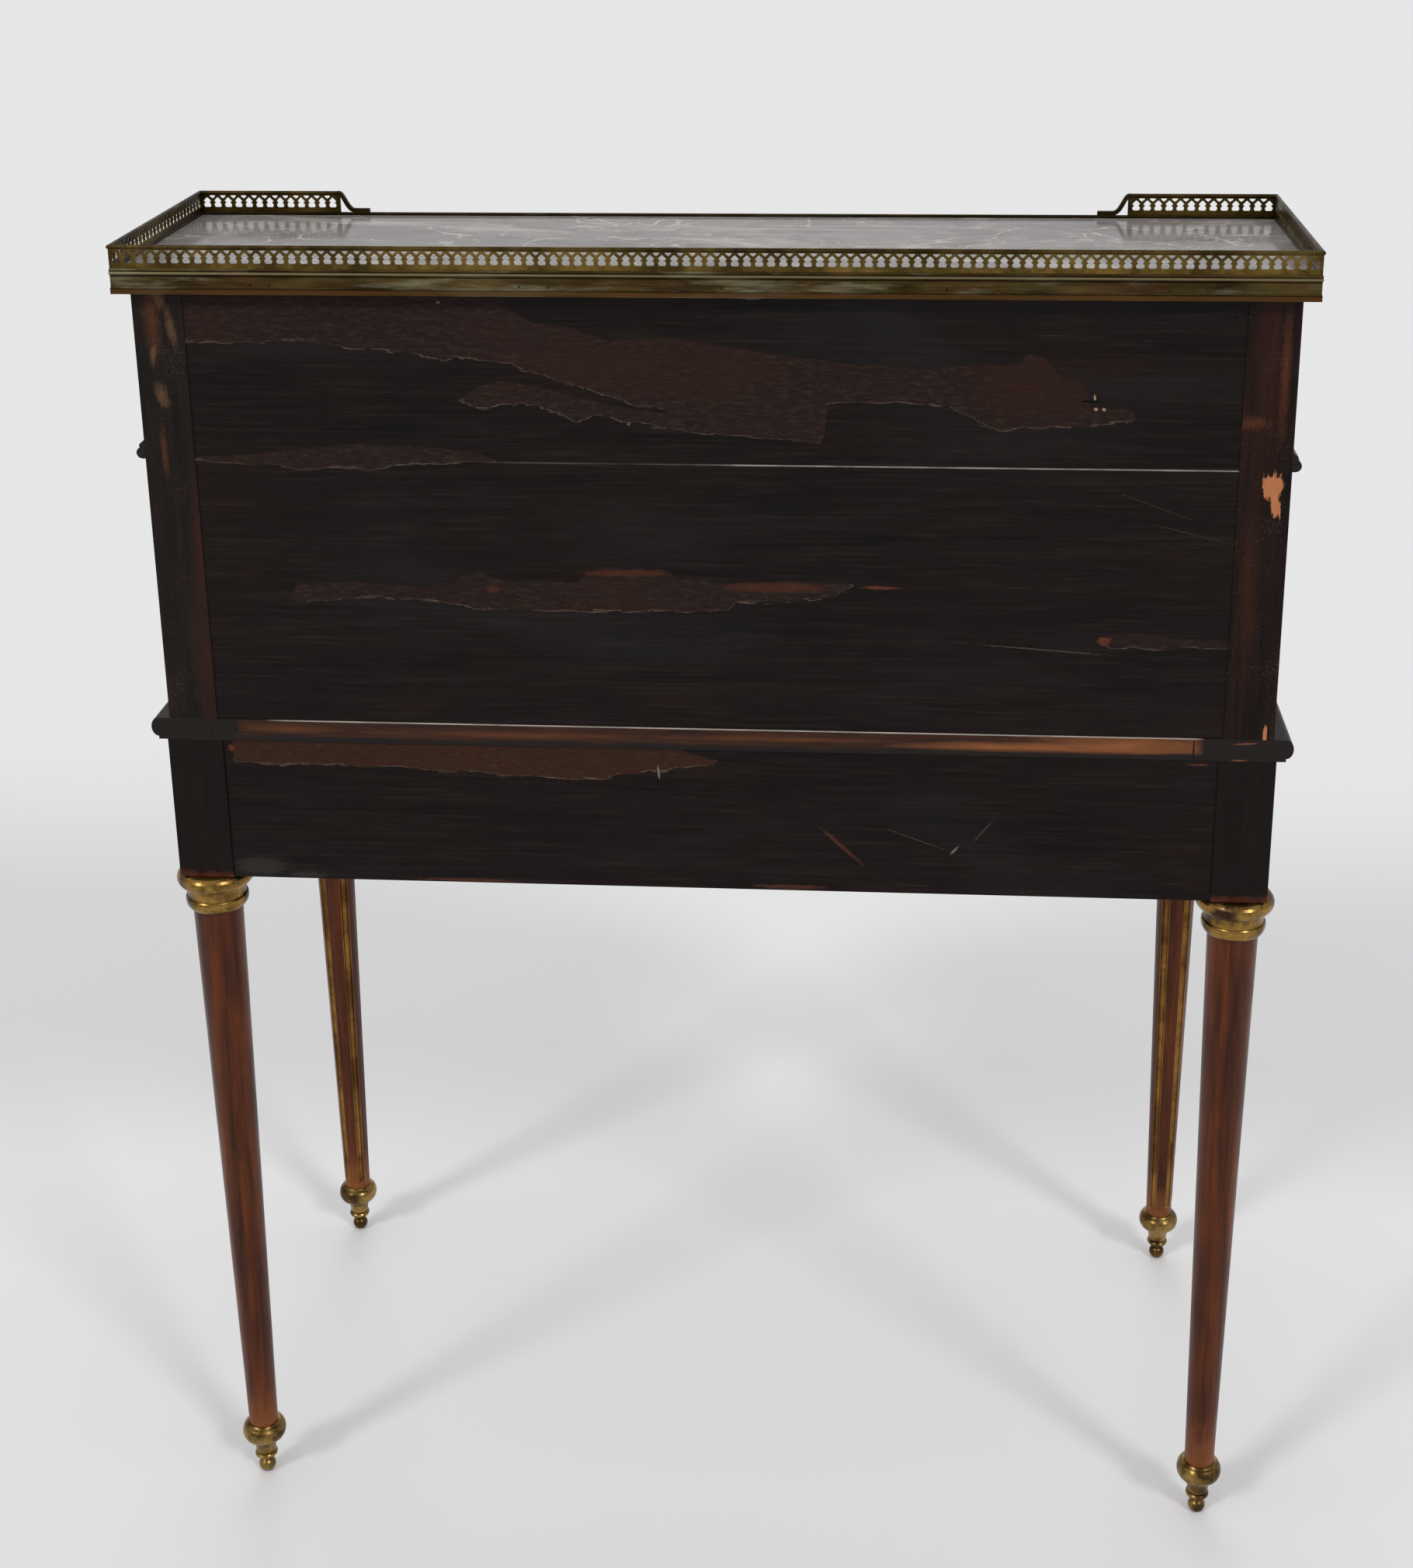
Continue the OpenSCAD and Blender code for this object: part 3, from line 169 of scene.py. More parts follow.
# Torn edges of the veneer, as (x, z) in millimetres on the back of the piece: upper edge, then lower edge
UPPER_TEARS = (
    (
        [(394, 1092), (156, 1092), (148, 1073), (131, 1063), (100, 1059), (78, 1050), (31, 1052), (0, 1048),
         (-43, 1041), (-108, 1033), (-174, 1031), (-228, 1034), (-238, 1043), (-250, 1038), (-261, 1025),
         (-280, 1018), (-283, 1003), (-314, 1000), (-317, 992)],
        [(394, 1045), (307, 1047), (261, 1041), (226, 1039), (198, 1032), (190, 1036), (148, 1030),
         (122, 1021), (91, 1012), (61, 1002), (30, 996), (26, 981), (0, 977), (-43, 975), (-86, 972),
         (-89, 1001), (-126, 1005), (-161, 1003), (-180, 1000), (-204, 988), (-217, 983), (-235, 985),
         (-278, 986), (-300, 990), (-317, 992)],
    ),
    (
        [(188, 1002), (174, 1013), (157, 1018), (131, 1015), (100, 1006), (68, 999), (31, 994), (12, 994)],
        [(188, 1002), (174, 996), (139, 1000), (113, 992), (99, 986), (81, 992), (65, 987), (12, 979)],
    ),
    (
        [(394, 955), (335, 960), (278, 967), (226, 967), (174, 962), (162, 955)],
        [(394, 952), (335, 949), (315, 946), (283, 949), (261, 946), (239, 950), (162, 955)],
    ),
)
LOWER_TEARS = (
    (
        [(326, 843), (323, 855), (278, 857), (222, 853), (205, 854), (191, 863), (178, 867), (163, 860),
         (102, 859), (96, 867), (39, 871), (22, 863), (-19, 860), (-65, 863), (-109, 860)],
        [(326, 843), (322, 837), (298, 841), (261, 844), (213, 841), (174, 835), (22, 836), (-13, 837),
         (-19, 845), (-69, 846), (-93, 850), (-109, 860)],
    ),
    (
        [(-298, 814), (-304, 822), (-319, 825), (-343, 823), (-361, 821), (-394, 819)],
        [(-298, 814), (-306, 812), (-394, 813)],
    ),
    UPPER_TEARS[2],
)
FRIEZE_TEARS = (
    (
        [(384, 728), (70, 728), (35, 723), (-3, 712)],
        [(384, 703), (359, 701), (295, 701), (232, 699), (168, 695), (91, 693), (77, 698), (41, 702),
         (23, 705), (2, 708), (-3, 712)],
    ),
)


# How thick the veneer is, and how far splinters and slow waves move its torn edge either way, in millimetres
VENEER_MM = 0.6
SPLINTER_MM = 0.9
WAVE_MM = 2.25
# A distance that is well away from every torn patch, and half the fade at the ends of a line of dust, in mm
FAR_MM = 50.0
DUST_FADE_MM = 20


def torn(tree, mm, tears):
    """Where sheets of veneer are torn off: how far inside a patch a place is, and how far above its lower
    edge, in millimetres. The edges run in splinters along the grain, 16 mm long and 1.8 mm high, on slower
    waves."""
    x, y, z = node(tree, "SeparateXYZ", [mm]).node.outputs
    cells = node(tree, "Mapping", {"Vector": mm, "Scale": (1 / 16, 1 / 20, 1 / 1.8)})
    splinters = node(tree, "TexVoronoi", {"Vector": cells, "Scale": 1.0}, out="Color")
    waves = node(tree, "TexNoise", {
        "Vector": node(tree, "Mapping", {"Vector": mm, "Scale": (1 / 22, 1 / 30, 1 / 9)}),
        "Scale": 1.0, "Detail": 4.0, "Roughness": 0.6,
    })
    ragged = node(tree, "Math", [splinters, 2 * SPLINTER_MM, -SPLINTER_MM], operation="MULTIPLY_ADD")
    ragged = node(tree, "Math", [waves, 2 * WAVE_MM, ragged], operation="MULTIPLY_ADD")
    ragged = node(tree, "Math", [ragged, WAVE_MM], operation="SUBTRACT")
    inside, above = -FAR_MM, FAR_MM
    for upper, lower in tears:
        xs = [point[0] for point in upper + lower]
        under = node(tree, "Math", [height_along(tree, x, upper), z], operation="SUBTRACT")
        over = node(tree, "Math", [z, height_along(tree, x, lower)], operation="SUBTRACT")
        over = node(tree, "Math", [over, ragged], operation="ADD")
        patch = node(tree, "Math", [under, over], operation="MINIMUM")
        left = node(tree, "Math", [x, min(xs)], operation="SUBTRACT")
        right = node(tree, "Math", [max(xs), x], operation="SUBTRACT")
        patch = node(tree, "Math", [patch, left], operation="MINIMUM")
        patch = node(tree, "Math", [patch, right], operation="MINIMUM")
        elsewhere = node(tree, "MapRange", [patch, -1.5, -0.5, FAR_MM, -FAR_MM])
        shallow = node(tree, "Math", [over, elsewhere], operation="MAXIMUM")
        above = node(tree, "Math", [above, shallow], operation="MINIMUM")
        inside = node(tree, "Math", [inside, patch], operation="MAXIMUM")
    inside = node(tree, "Math", [ragged, 0.5, inside], operation="MULTIPLY_ADD")
    # Only the outer face is torn, and the boards' inner faces are whole
    inside = node(tree, "Math", [inside, node(tree, "Math", [y, BACK_Y - 4], operation="SUBTRACT")],
                  operation="MINIMUM")
    return inside, above


# ---------------------------------------------------------------- woods


def grained(tree, mm, along, dark, light, pore=0.9, streak=9.0):
    """Straight-grained wood, along x, y or z: fine pores and slow streaks, their width in millimetres, 40 and
    16 times as long as wide. Real pores are about 0.2 mm wide, and these are as coarse as it takes to show.
    Gives the colour and the pores."""
    fine = [1 / (pore * (40 if axis == along else 1)) for axis in "xyz"]
    fine = node(tree, "Mapping", {"Vector": mm, "Scale": fine})
    broad = [1 / (streak * (16 if axis == along else 1)) for axis in "xyz"]
    broad = node(tree, "Mapping", {"Vector": mm, "Scale": broad})
    pores = node(tree, "TexNoise", {"Vector": fine, "Scale": 1.0, "Detail": 4.0, "Roughness": 0.6})
    streaks = node(tree, "TexNoise", {
        "Vector": broad, "Scale": 1.0, "Detail": 4.0, "Roughness": 0.6, "Distortion": 0.4
    })
    colour = node(tree, "Mix", {0: node(tree, "MapRange", [streaks, 0.32, 0.7]), 6: dark, 7: light},
                  out=2, data_type="RGBA")
    in_pores = node(tree, "MapRange", [pores, 0.35, 0.62, 0.4, 0.0])
    return node(tree, "Mix", {0: in_pores, 6: colour, 7: dark}, out=2, data_type="RGBA"), pores


def polished_wood(name, along, dark, light, roughness=0.36, ior=1.36, worn=None, wear=None):
    """Wood under old shellac: straight-grained, with a soft shine, and rubbed pale where wear, a function of
    the tree and place, says so. Old shellac is thin and crazed and mirrors little, so its IOR is below the
    usual 1.5."""
    material, tree, mm = begin(name)
    colour, pores = grained(tree, mm, along, dark, light)
    clouds = node(tree, "TexNoise", {"Vector": mm, "Scale": 1 / 60, "Detail": 4.0})
    colour = node(tree, "Mix", {0: node(tree, "MapRange", [clouds, 0.35, 0.7, 0.5, 0.0]), 6: colour, 7: dark},
                  out=2, data_type="RGBA")
    rough = node(tree, "MapRange", [clouds, 0.3, 0.7, roughness + 0.12, roughness - 0.04])
    if worn:
        rubbed = wear(tree, mm)
        colour = node(tree, "Mix", {0: rubbed, 6: colour, 7: worn}, out=2, data_type="RGBA")
        rough = node(tree, "Math", [rubbed, 0.2, rough], operation="MULTIPLY_ADD")
    relief = node(tree, "Bump", {"Height": pores, "Distance": 0.00015, "Strength": 0.6})
    return complete(material, {"Base Color": colour, "Roughness": rough, "Normal": relief, "IOR": ior})


def veneered_back(name, tears, marks, dust=(), fresh="#281c18"):
    """Ebonised veneer: nearly black over reddish clouds, with a faint straight grain, dull where its polish
    is smeared and there painted paler grey as a broad sheen, with hairline scratches drawn 0.8 mm wide so
    that they show. Where a sheet has torn off, the brown groundwork shows, its fresher fibres lighter, and
    the torn edge below it catches light as a thin pale line, a painted highlight. Each mark is a colour, an
    amount and places, and each line of dust is a height, two ends and an amount."""
    colours = bpy.context.scene.bdj_colours
    material, tree, mm = begin(name)
    x, _, z = node(tree, "SeparateXYZ", [mm]).node.outputs
    veneer, pores = grained(tree, mm, "x", tuple(colours.ebonised), "#1a1210", pore=0.8, streak=14)
    drawn = node(tree, "Mapping", {"Vector": mm, "Scale": (1 / 270, 1 / 90, 1 / 90)})
    smears_and_sheen = node(tree, "TexNoise", {
        "Vector": drawn, "Scale": 1.0, "Detail": 5.0, "Roughness": 0.6, "Distortion": 0.6
    })
    reddish = node(tree, "TexNoise", {"Vector": drawn, "Scale": 1.7, "Detail": 4.0, "Roughness": 0.6})
    veneer = node(tree, "Mix", {
        0: node(tree, "MapRange", [reddish, 0.5, 0.7, 0, 0.75]), 6: veneer, 7: "#1b0f0b"
    }, out=2, data_type="RGBA")
    # Painted sheen: where the polish is smeared, the veneer is drawn paler grey, as a broad reflection
    veneer = node(tree, "Mix", {
        0: node(tree, "MapRange", [smears_and_sheen, 0.52, 0.78, 0, 0.6]), 6: veneer, 7: "#211f20"
    }, out=2, data_type="RGBA")
    grain = node(tree, "MapRange", [frayed(tree, mm, 70, 2.4), 0.5, 0.66, 0, 0.45])
    veneer = node(tree, "Mix", {0: grain, 6: veneer, 7: "#29211e"}, out=2, data_type="RGBA")
    slanted = node(tree, "Mapping", {
        "Vector": mm, "Rotation": (0, math.radians(14), 0), "Scale": (1 / 130, 1 / 40, 1 / 0.8)
    })
    hairlines = node(tree, "TexNoise", {"Vector": slanted, "Scale": 1.0, "Detail": 2.0})
    hairlines = node(tree, "Math", [
        node(tree, "MapRange", [hairlines, 0.72, 0.78, 0, 0.5]), node(tree, "MapRange", [reddish, 0.5, 0.6])
    ], operation="MULTIPLY")
    veneer = node(tree, "Mix", {0: hairlines, 6: veneer, 7: "#5e5650"}, out=2, data_type="RGBA")
    inside, above = torn(tree, mm, tears)
    bare = node(tree, "MapRange", [inside, -0.1, 0.2])
    fibres = frayed(tree, mm, 6, 1.2)
    mottle = frayed(tree, mm, 10, 2.6)
    ground = node(tree, "Mix", {
        0: node(tree, "MapRange", [fibres, 0.3, 0.72]), 6: tuple(colours.groundwork), 7: fresh
    }, out=2, data_type="RGBA")
    ground = node(tree, "Mix", {
        0: node(tree, "MapRange", [mottle, 0.48, 0.7, 0, 0.6]), 6: ground, 7: "#3b302a"
    }, out=2, data_type="RGBA")
    ground = node(tree, "Mix", {
        0: node(tree, "MapRange", [reddish, 0.5, 0.7, 0, 0.6]), 6: ground, 7: "#301b14"
    }, out=2, data_type="RGBA")
    colour = node(tree, "Mix", {0: bare, 6: veneer, 7: ground}, out=2, data_type="RGBA")
    # Painted highlight along the torn lip: it is under a millimetre wide, runs along lower edges and comes
    # and goes every few centimetres
    patchy = node(tree, "TexNoise", {"Vector": mm, "Scale": 1 / 26, "Detail": 3.0})
    lip = node(tree, "MapRange", [inside, 0.7, 0.4])
    for factor in (bare, node(tree, "MapRange", [above, 3.2, 2.4]),
                   node(tree, "MapRange", [patchy, 0.4, 0.62, 0.15, 0.6])):
        lip = node(tree, "Math", [lip, factor], operation="MULTIPLY")
    colour = node(tree, "Mix", {0: lip, 6: colour, 7: "#7d6a5e"}, out=2, data_type="RGBA")
    for paint, amount, places in marks:
        colour = marked(tree, mm, colour, paint, places, fibres, amount)
    for joint, x0, x1, amount in dust:
        line = node(tree, "Math", [z, joint], operation="SUBTRACT")
        line = node(tree, "Math", [line], operation="ABSOLUTE")
        line = node(tree, "MapRange", [line, 0.8, 0.2])
        for fade in (
            [x, x1 + DUST_FADE_MM, x1 - DUST_FADE_MM], [x, x0 - DUST_FADE_MM, x0 + DUST_FADE_MM],
            [patchy, 0.3, 0.6, 0.3 * amount, amount],
        ):
            line = node(tree, "Math", [line, node(tree, "MapRange", fade)], operation="MULTIPLY")
        colour = node(tree, "Mix", {0: line, 6: colour, 7: "#a39c94"}, out=2, data_type="RGBA")
    rough = node(tree, "MapRange", [smears_and_sheen, 0.3, 0.8, 0.36, 0.55])
    rough = node(tree, "Math", [bare, 0.35, rough], operation="MULTIPLY_ADD")
    # The veneer stands its own thickness above the groundwork
    step = node(tree, "MapRange", [inside, VENEER_MM, -VENEER_MM / 2])
    step = node(tree, "Bump", {"Height": step, "Distance": VENEER_MM / 1000})
    coarse = node(tree, "Math", [fibres, bare], operation="MULTIPLY")
    relief = node(tree, "Bump", {"Height": coarse, "Distance": 0.0004, "Strength": 0.7, "Normal": step})
    relief = node(tree, "Bump", {"Height": pores, "Distance": 0.00012, "Strength": 0.5, "Normal": relief})
    return complete(material, {"Base Color": colour, "Roughness": rough, "Normal": relief, "IOR": 1.2})


def old_uprights():
    """Stained mahogany of the stiles and sides: brown and speckled with old varnish on one side, redder on
    the other, with dark and rubbed streaks and orange chips where the stain has flaked off to fresh wood."""
    material, tree, mm = begin("Stained mahogany, stiles and sides")
    x = node(tree, "SeparateXYZ", [mm])
    dull, pores = grained(tree, mm, "z", "#0f0b09", "#1f1713", streak=5)
    red, _ = grained(tree, mm, "z", "#080504", "#26110a", streak=6)
    side = node(tree, "MapRange", [x, -50, 50])
    colour = node(tree, "Mix", {0: side, 6: red, 7: dull}, out=2, data_type="RGBA")
    speckle = node(tree, "TexNoise", {"Vector": mm, "Scale": 1 / 2.2, "Detail": 5.0, "Roughness": 0.75})
    spread = node(tree, "TexNoise", {"Vector": mm, "Scale": 1 / 30, "Detail": 2.0})
    flecks = node(tree, "Math", [spread, 0.35, speckle], operation="MULTIPLY_ADD")
    flecks = node(tree, "MapRange", [flecks, 0.74, 0.9, 0, 0.55])
    colour = node(tree, "Mix", {0: flecks, 6: colour, 7: "#4e3d31"}, out=2, data_type="RGBA")
    fray = frayed(tree, mm, 5, 1.6, "z")
    splits = frayed(tree, mm, 14, 4, "z")
    colour = marked(tree, mm, colour, "#452013", (
        (-410, 1030, 9, 60, 0), (-405, 860, 5, 60, 0), (399, 800, 7, 62, 0), (396, 900, 4, 40, 0),
    ), fray, 0.36, 1.8)
    colour = marked(tree, mm, colour, "#b0704a", (
        (-419, 942, 8, 12, 0), (-422, 927, 4, 11, 12), (-425, 744, 1.6, 9, 0),
    ), splits, 0.95, 0.15)
    colour = marked(tree, mm, colour, "#7a4426", (
        (-401, 991, 10, 4, 0), (-423, 1030, 3, 40, 0), (418, 1062, 5, 22, 0), (417, 960, 2, 16, 0),
    ), fray, 0.3, 1.4)
    colour = marked(tree, mm, colour, "#7c5a3e", (
        (415, 1004, 4, 9, 15), (411, 1078, 4, 7, 30), (404, 1056, 3, 12, 8), (419, 1036, 2, 8, -10),
    ), fray, 0.4, 1.1)
    rough = node(tree, "MapRange", [speckle, 0.3, 0.7, 0.4, 0.6])
    relief = node(tree, "Bump", {"Height": pores, "Distance": 0.0002, "Strength": 0.7})
    relief = node(tree, "Bump", {"Height": flecks, "Distance": 0.0004, "Strength": 0.5, "Normal": relief})
    return complete(material, {"Base Color": colour, "Roughness": rough, "Normal": relief, "IOR": 1.22})


def table_edge(name, along, dark, light):
    """Stained table top with a low shine: its back edge is rubbed down to brown wood, orange in places, with
    a dark broken underside and a line of dust along its top arris."""
    material, tree, mm = begin(name)
    x, y, z = node(tree, "SeparateXYZ", [mm]).node.outputs
    colour, pores = grained(tree, mm, along, dark, light)
    edge_colour, _ = grained(tree, mm, "x", "#1c0e08", "#43230f", streak=3)
    drift = frayed(tree, mm, 60, 9)
    edge_colour = marked(tree, mm, edge_colour, "#93582f", (
        (-322, 731, 50, 7, 0), (-225, 729, 50, 3, 0),
    ), drift, 0.8, 1.8)
    edge_colour = marked(tree, mm, edge_colour, "#66391c", (
        (335, 732, 25, 2, 0), (150, 731, 70, 2, 0), (-60, 732, 60, 1.5, 0),
    ), drift, 0.6, 2.2)
    # The edge has kept its dark stain at both ends and, in a broken line, along its underside
    stained = node(tree, "MapRange", [node(tree, "Math", [x], operation="ABSOLUTE"), 374, 380])
    low = node(tree, "Math", [drift, 9, z], operation="MULTIPLY_ADD")
    stained = node(tree, "Math", [stained, node(tree, "MapRange", [low, TOP_Z - 7.5, TOP_Z - 10.5])],
                   operation="MAXIMUM")
    edge_colour = node(tree, "Mix", {0: stained, 6: edge_colour, 7: "#17100d"}, out=2, data_type="RGBA")
    edge_colour = marked(tree, mm, edge_colour, "#7a4526", (
        (-411, 736, 9, 0.7, 4), (-406, 722, 6, 0.8, 0),
    ), drift, 0.8, 0.6)
    edge_colour = marked(tree, mm, edge_colour, "#060404", (
        (380, 731, 1.7, 1.7, 0), (398, 728, 0.8, 4, 15), (-372, 730, 0.7, 9, 0), (-60, 724, 9, 0.7, 3),
    ), drift, 1.0, 0.2)
    on_edge = node(tree, "MapRange", [y, TOP_BACK_Y - 1.2, TOP_BACK_Y - 0.4])
    colour = node(tree, "Mix", {0: on_edge, 6: colour, 7: edge_colour}, out=2, data_type="RGBA")
    # Dust lies along the arris between the cleats
    arris = node(tree, "Math", [y, z], operation="ADD")
    dusty = node(tree, "MapRange", [arris, TOP_BACK_Y + TOP_Z - 1.0, TOP_BACK_Y + TOP_Z - 0.6])
    patchy = node(tree, "MapRange", [drift, 0.35, 0.6, 0.4, 0.9])
    for factor in (patchy, node(tree, "MapRange", [x, 356, 340]), node(tree, "MapRange", [x, -380, -372])):
        dusty = node(tree, "Math", [dusty, factor], operation="MULTIPLY")
    colour = node(tree, "Mix", {0: dusty, 6: colour, 7: "#b8afa5"}, out=2, data_type="RGBA")
    rough = node(tree, "MapRange", [drift, 0.3, 0.7, 0.34, 0.5])
    relief = node(tree, "Bump", {"Height": pores, "Distance": 0.00015, "Strength": 0.6})
    return complete(material, {"Base Color": colour, "Roughness": rough, "Normal": relief, "IOR": 1.28})


# ---------------------------------------------------------------- metal, stone and leather


def aged_brass(name, bright, dull, dark="#1c150c", roughness=0.34, film_mm=38, hollow_mm=3.0):
    """Rolled or cast brass, never cleaned: a brown or olive film in clouds, black dirt and painted shade in
    its hollows and gold where hands have rubbed it."""
    material, tree, mm = begin(name)
    film = node(tree, "TexNoise", {"Vector": mm, "Scale": 1 / film_mm, "Detail": 5.0, "Roughness": 0.6})
    specks = node(tree, "TexNoise", {"Vector": mm, "Scale": 1 / 4, "Detail": 5.0, "Roughness": 0.7})
    colour = node(tree, "Mix", {0: node(tree, "MapRange", [film, 0.4, 0.62]), 6: dull, 7: bright},
                  out=2, data_type="RGBA")
    colour = node(tree, "Mix", {0: node(tree, "MapRange", [specks, 0.5, 0.76, 0, 0.6]), 6: colour, 7: dark},
                  out=2, data_type="RGBA")
    # Dirt and painted shade: the brass is darker where it is closed in
    openness = node(tree, "AmbientOcclusion", {"Distance": hollow_mm / 1000}, out="AO", samples=6)
    grime_and_shade = node(tree, "MapRange", [openness, 0.75, 0.35, 0, 0.85])
    colour = node(tree, "Mix", {0: grime_and_shade, 6: colour, 7: dark}, out=2, data_type="RGBA")
    rough = node(tree, "MapRange", [film, 0.3, 0.7, roughness + 0.14, roughness - 0.06])
    rough = node(tree, "Math", [grime_and_shade, 0.3, rough], operation="MULTIPLY_ADD")
    relief = node(tree, "Bump", {"Height": specks, "Distance": 0.00008, "Strength": 0.4})
    return complete(material, {"Base Color": colour, "Metallic": 1.0, "Roughness": rough, "Normal": relief})


def banded_brass():
    """The rolled brass band round the marble: a dark olive face with greenish and purplish tarnish and pale
    patches of painted sheen, a painted grey highlight along its crown, painted shade in its grooves and a
    brown lip, with the rolls' fine lines along it, drawn 0.7 mm wide so that they show."""
    material, tree, mm = begin("Rolled brass, band")
    z = node(tree, "SeparateXYZ", [mm], out="Z")
    film = node(tree, "TexNoise", {
        "Vector": node(tree, "Mapping", {"Vector": mm, "Scale": (1 / 60, 1 / 60, 1 / 12)}),
        "Scale": 1.0, "Detail": 5.0, "Roughness": 0.6,
    })
    lines = node(tree, "TexNoise", {
        "Vector": node(tree, "Mapping", {"Vector": mm, "Scale": (1 / 90, 1 / 90, 1 / 0.7)}),
        "Scale": 1.0, "Detail": 3.0, "Roughness": 0.7,
    })
    tarnish = node(tree, "TexNoise", {
        "Vector": mm, "Scale": 1 / 28, "Detail": 4.0, "Distortion": 0.8
    }, out="Color")
    colour = node(tree, "Mix", {0: node(tree, "MapRange", [film, 0.34, 0.66]), 6: "#332815", 7: "#5d4c2c"},
                  out=2, data_type="RGBA")
    colour = node(tree, "Mix", {0: 0.4, 6: colour, 7: tarnish},
                  out=2, data_type="RGBA", blend_type="SOFT_LIGHT")
    # Painted sheen: pale patches of painted reflection on the band, with a little of the sky's grey
    painted_sheen = node(tree, "MapRange", [frayed(tree, mm, 110, 16), 0.52, 0.7, 0, 0.7])
    colour = node(tree, "Mix", {0: painted_sheen, 6: colour, 7: "#8f8a70"}, out=2, data_type="RGBA")
    grime_lines = node(tree, "MapRange", [lines, 0.5, 0.7, 0, 0.6])
    colour = node(tree, "Mix", {0: grime_lines, 6: colour, 7: "#171008"}, out=2, data_type="RGBA")
    # Lines along the moulding: painted shade in its grooves, a painted grey highlight on its crown, and its
    # brown lip: height, half width, colour and amount
    for height, half, paint, amount in (
        (BAND_Z1 - 5.6, 0.5, "#120d07", 0.9), (BAND_Z1 - 3.4, 0.7, "#857a5c", 0.7),
        (BAND_Z1 - 2.0, 0.5, "#120d07", 0.8), (BAND_Z0 + 4.0, 0.5, "#171008", 0.8),
        (BAND_Z0 + 2.0, 1.6, "#55381d", 0.8),
    ):
        line = node(tree, "Math", [z, height], operation="SUBTRACT")
        line = node(tree, "Math", [line], operation="ABSOLUTE")
        line = node(tree, "MapRange", [line, half + 0.3, half - 0.3, 0, amount])
        colour = node(tree, "Mix", {0: line, 6: colour, 7: paint}, out=2, data_type="RGBA")
    # Dirt and painted shade: the band is darker where the parts round it close it in
    openness = node(tree, "AmbientOcclusion", {"Distance": 0.003}, out="AO", samples=6)
    grime_and_shade = node(tree, "MapRange", [openness, 0.75, 0.4, 0, 0.8])
    colour = node(tree, "Mix", {0: grime_and_shade, 6: colour, 7: "#171008"}, out=2, data_type="RGBA")
    rough = node(tree, "MapRange", [film, 0.3, 0.7, 0.42, 0.28])
    relief = node(tree, "Bump", {"Height": lines, "Distance": 0.0001, "Strength": 0.5})
    return complete(material, {"Base Color": colour, "Metallic": 1.0, "Roughness": rough, "Normal": relief})


def polished_marble():
    """Grey marble: soft white clouds, torn pale patches, thin pale veins that run across it and dark flecks,
    under a mirror polish."""
    colours = bpy.context.scene.bdj_colours
    material, tree, mm = begin("Polished grey marble")
    clouds = node(tree, "TexNoise", {
        "Vector": mm, "Scale": 1 / 85, "Detail": 6.0, "Roughness": 0.62, "Distortion": 1.4
    })
    drawn = node(tree, "Mapping", {"Vector": mm, "Scale": (1 / 230, 1 / 130, 1 / 130), "Location": (5, 2, 0)})
    patches = node(tree, "TexNoise", {
        "Vector": drawn, "Scale": 1.0, "Detail": 7.0, "Roughness": 0.6, "Distortion": 2.2
    })
    colour = node(tree, "Mix", {
        0: node(tree, "MapRange", [clouds, 0.3, 0.7]), 6: tuple(colours.marble), 7: "#989491"
    }, out=2, data_type="RGBA")
    patches = node(tree, "MapRange", [patches, 0.55, 0.64, 0, 0.8])
    colour = node(tree, "Mix", {0: patches, 6: colour, 7: "#b4b0ac"}, out=2, data_type="RGBA")
    # Wide veins, then faint narrow ones: their spacing, turn, half width in the pattern and strength
    for spread, turn, width, strength in ((150, 35, 0.010, 0.75), (90, 20, 0.008, 0.4)):
        run = node(tree, "Mapping", {
            "Vector": mm, "Scale": (1 / spread, 2.2 / spread, 1 / spread),
            "Rotation": (0, 0, math.radians(turn)), "Location": (turn, spread, 0),
        })
        vein = node(tree, "TexNoise", {"Vector": run, "Scale": 1.0, "Detail": 5.0, "Distortion": 1.2})
        vein = node(tree, "Math", [vein, 0.5], operation="SUBTRACT")
        vein = node(tree, "Math", [vein], operation="ABSOLUTE")
        vein = node(tree, "MapRange", [vein, width, 0.0, 0.0, strength])
        colour = node(tree, "Mix", {0: vein, 6: colour, 7: "#d5d2cc"}, out=2, data_type="RGBA")
    flecks = node(tree, "TexNoise", {"Vector": mm, "Scale": 1 / 3.5, "Detail": 2.0})
    flecks = node(tree, "MapRange", [flecks, 0.68, 0.76, 0, 0.6])
    colour = node(tree, "Mix", {0: flecks, 6: colour, 7: "#4a4543"}, out=2, data_type="RGBA")
    return complete(material, {"Base Color": colour, "Roughness": 0.12, "IOR": 1.45})


def writing_leather():
    """Calf leather, stained brown and worn darker where hands rest: a pebbled grain of about 1 mm and a dull
    shine."""
    colours = bpy.context.scene.bdj_colours
    material, tree, mm = begin("Calf leather, stained brown")
    pebbles = node(tree, "TexVoronoi", {"Vector": mm, "Scale": 1 / 1.1}, out="Distance")
    wear = node(tree, "TexNoise", {"Vector": mm, "Scale": 1 / 70, "Detail": 5.0, "Roughness": 0.6})
    colour = node(tree, "Mix", {
        0: node(tree, "MapRange", [wear, 0.3, 0.75]), 6: "#44261a", 7: tuple(colours.leather)
    }, out=2, data_type="RGBA")
    rough = node(tree, "MapRange", [wear, 0.3, 0.7, 0.42, 0.6])
    relief = node(tree, "Bump", {"Height": pebbles, "Distance": 0.0002, "Strength": 0.6})
    return complete(material, {"Base Color": colour, "Roughness": rough, "Normal": relief})


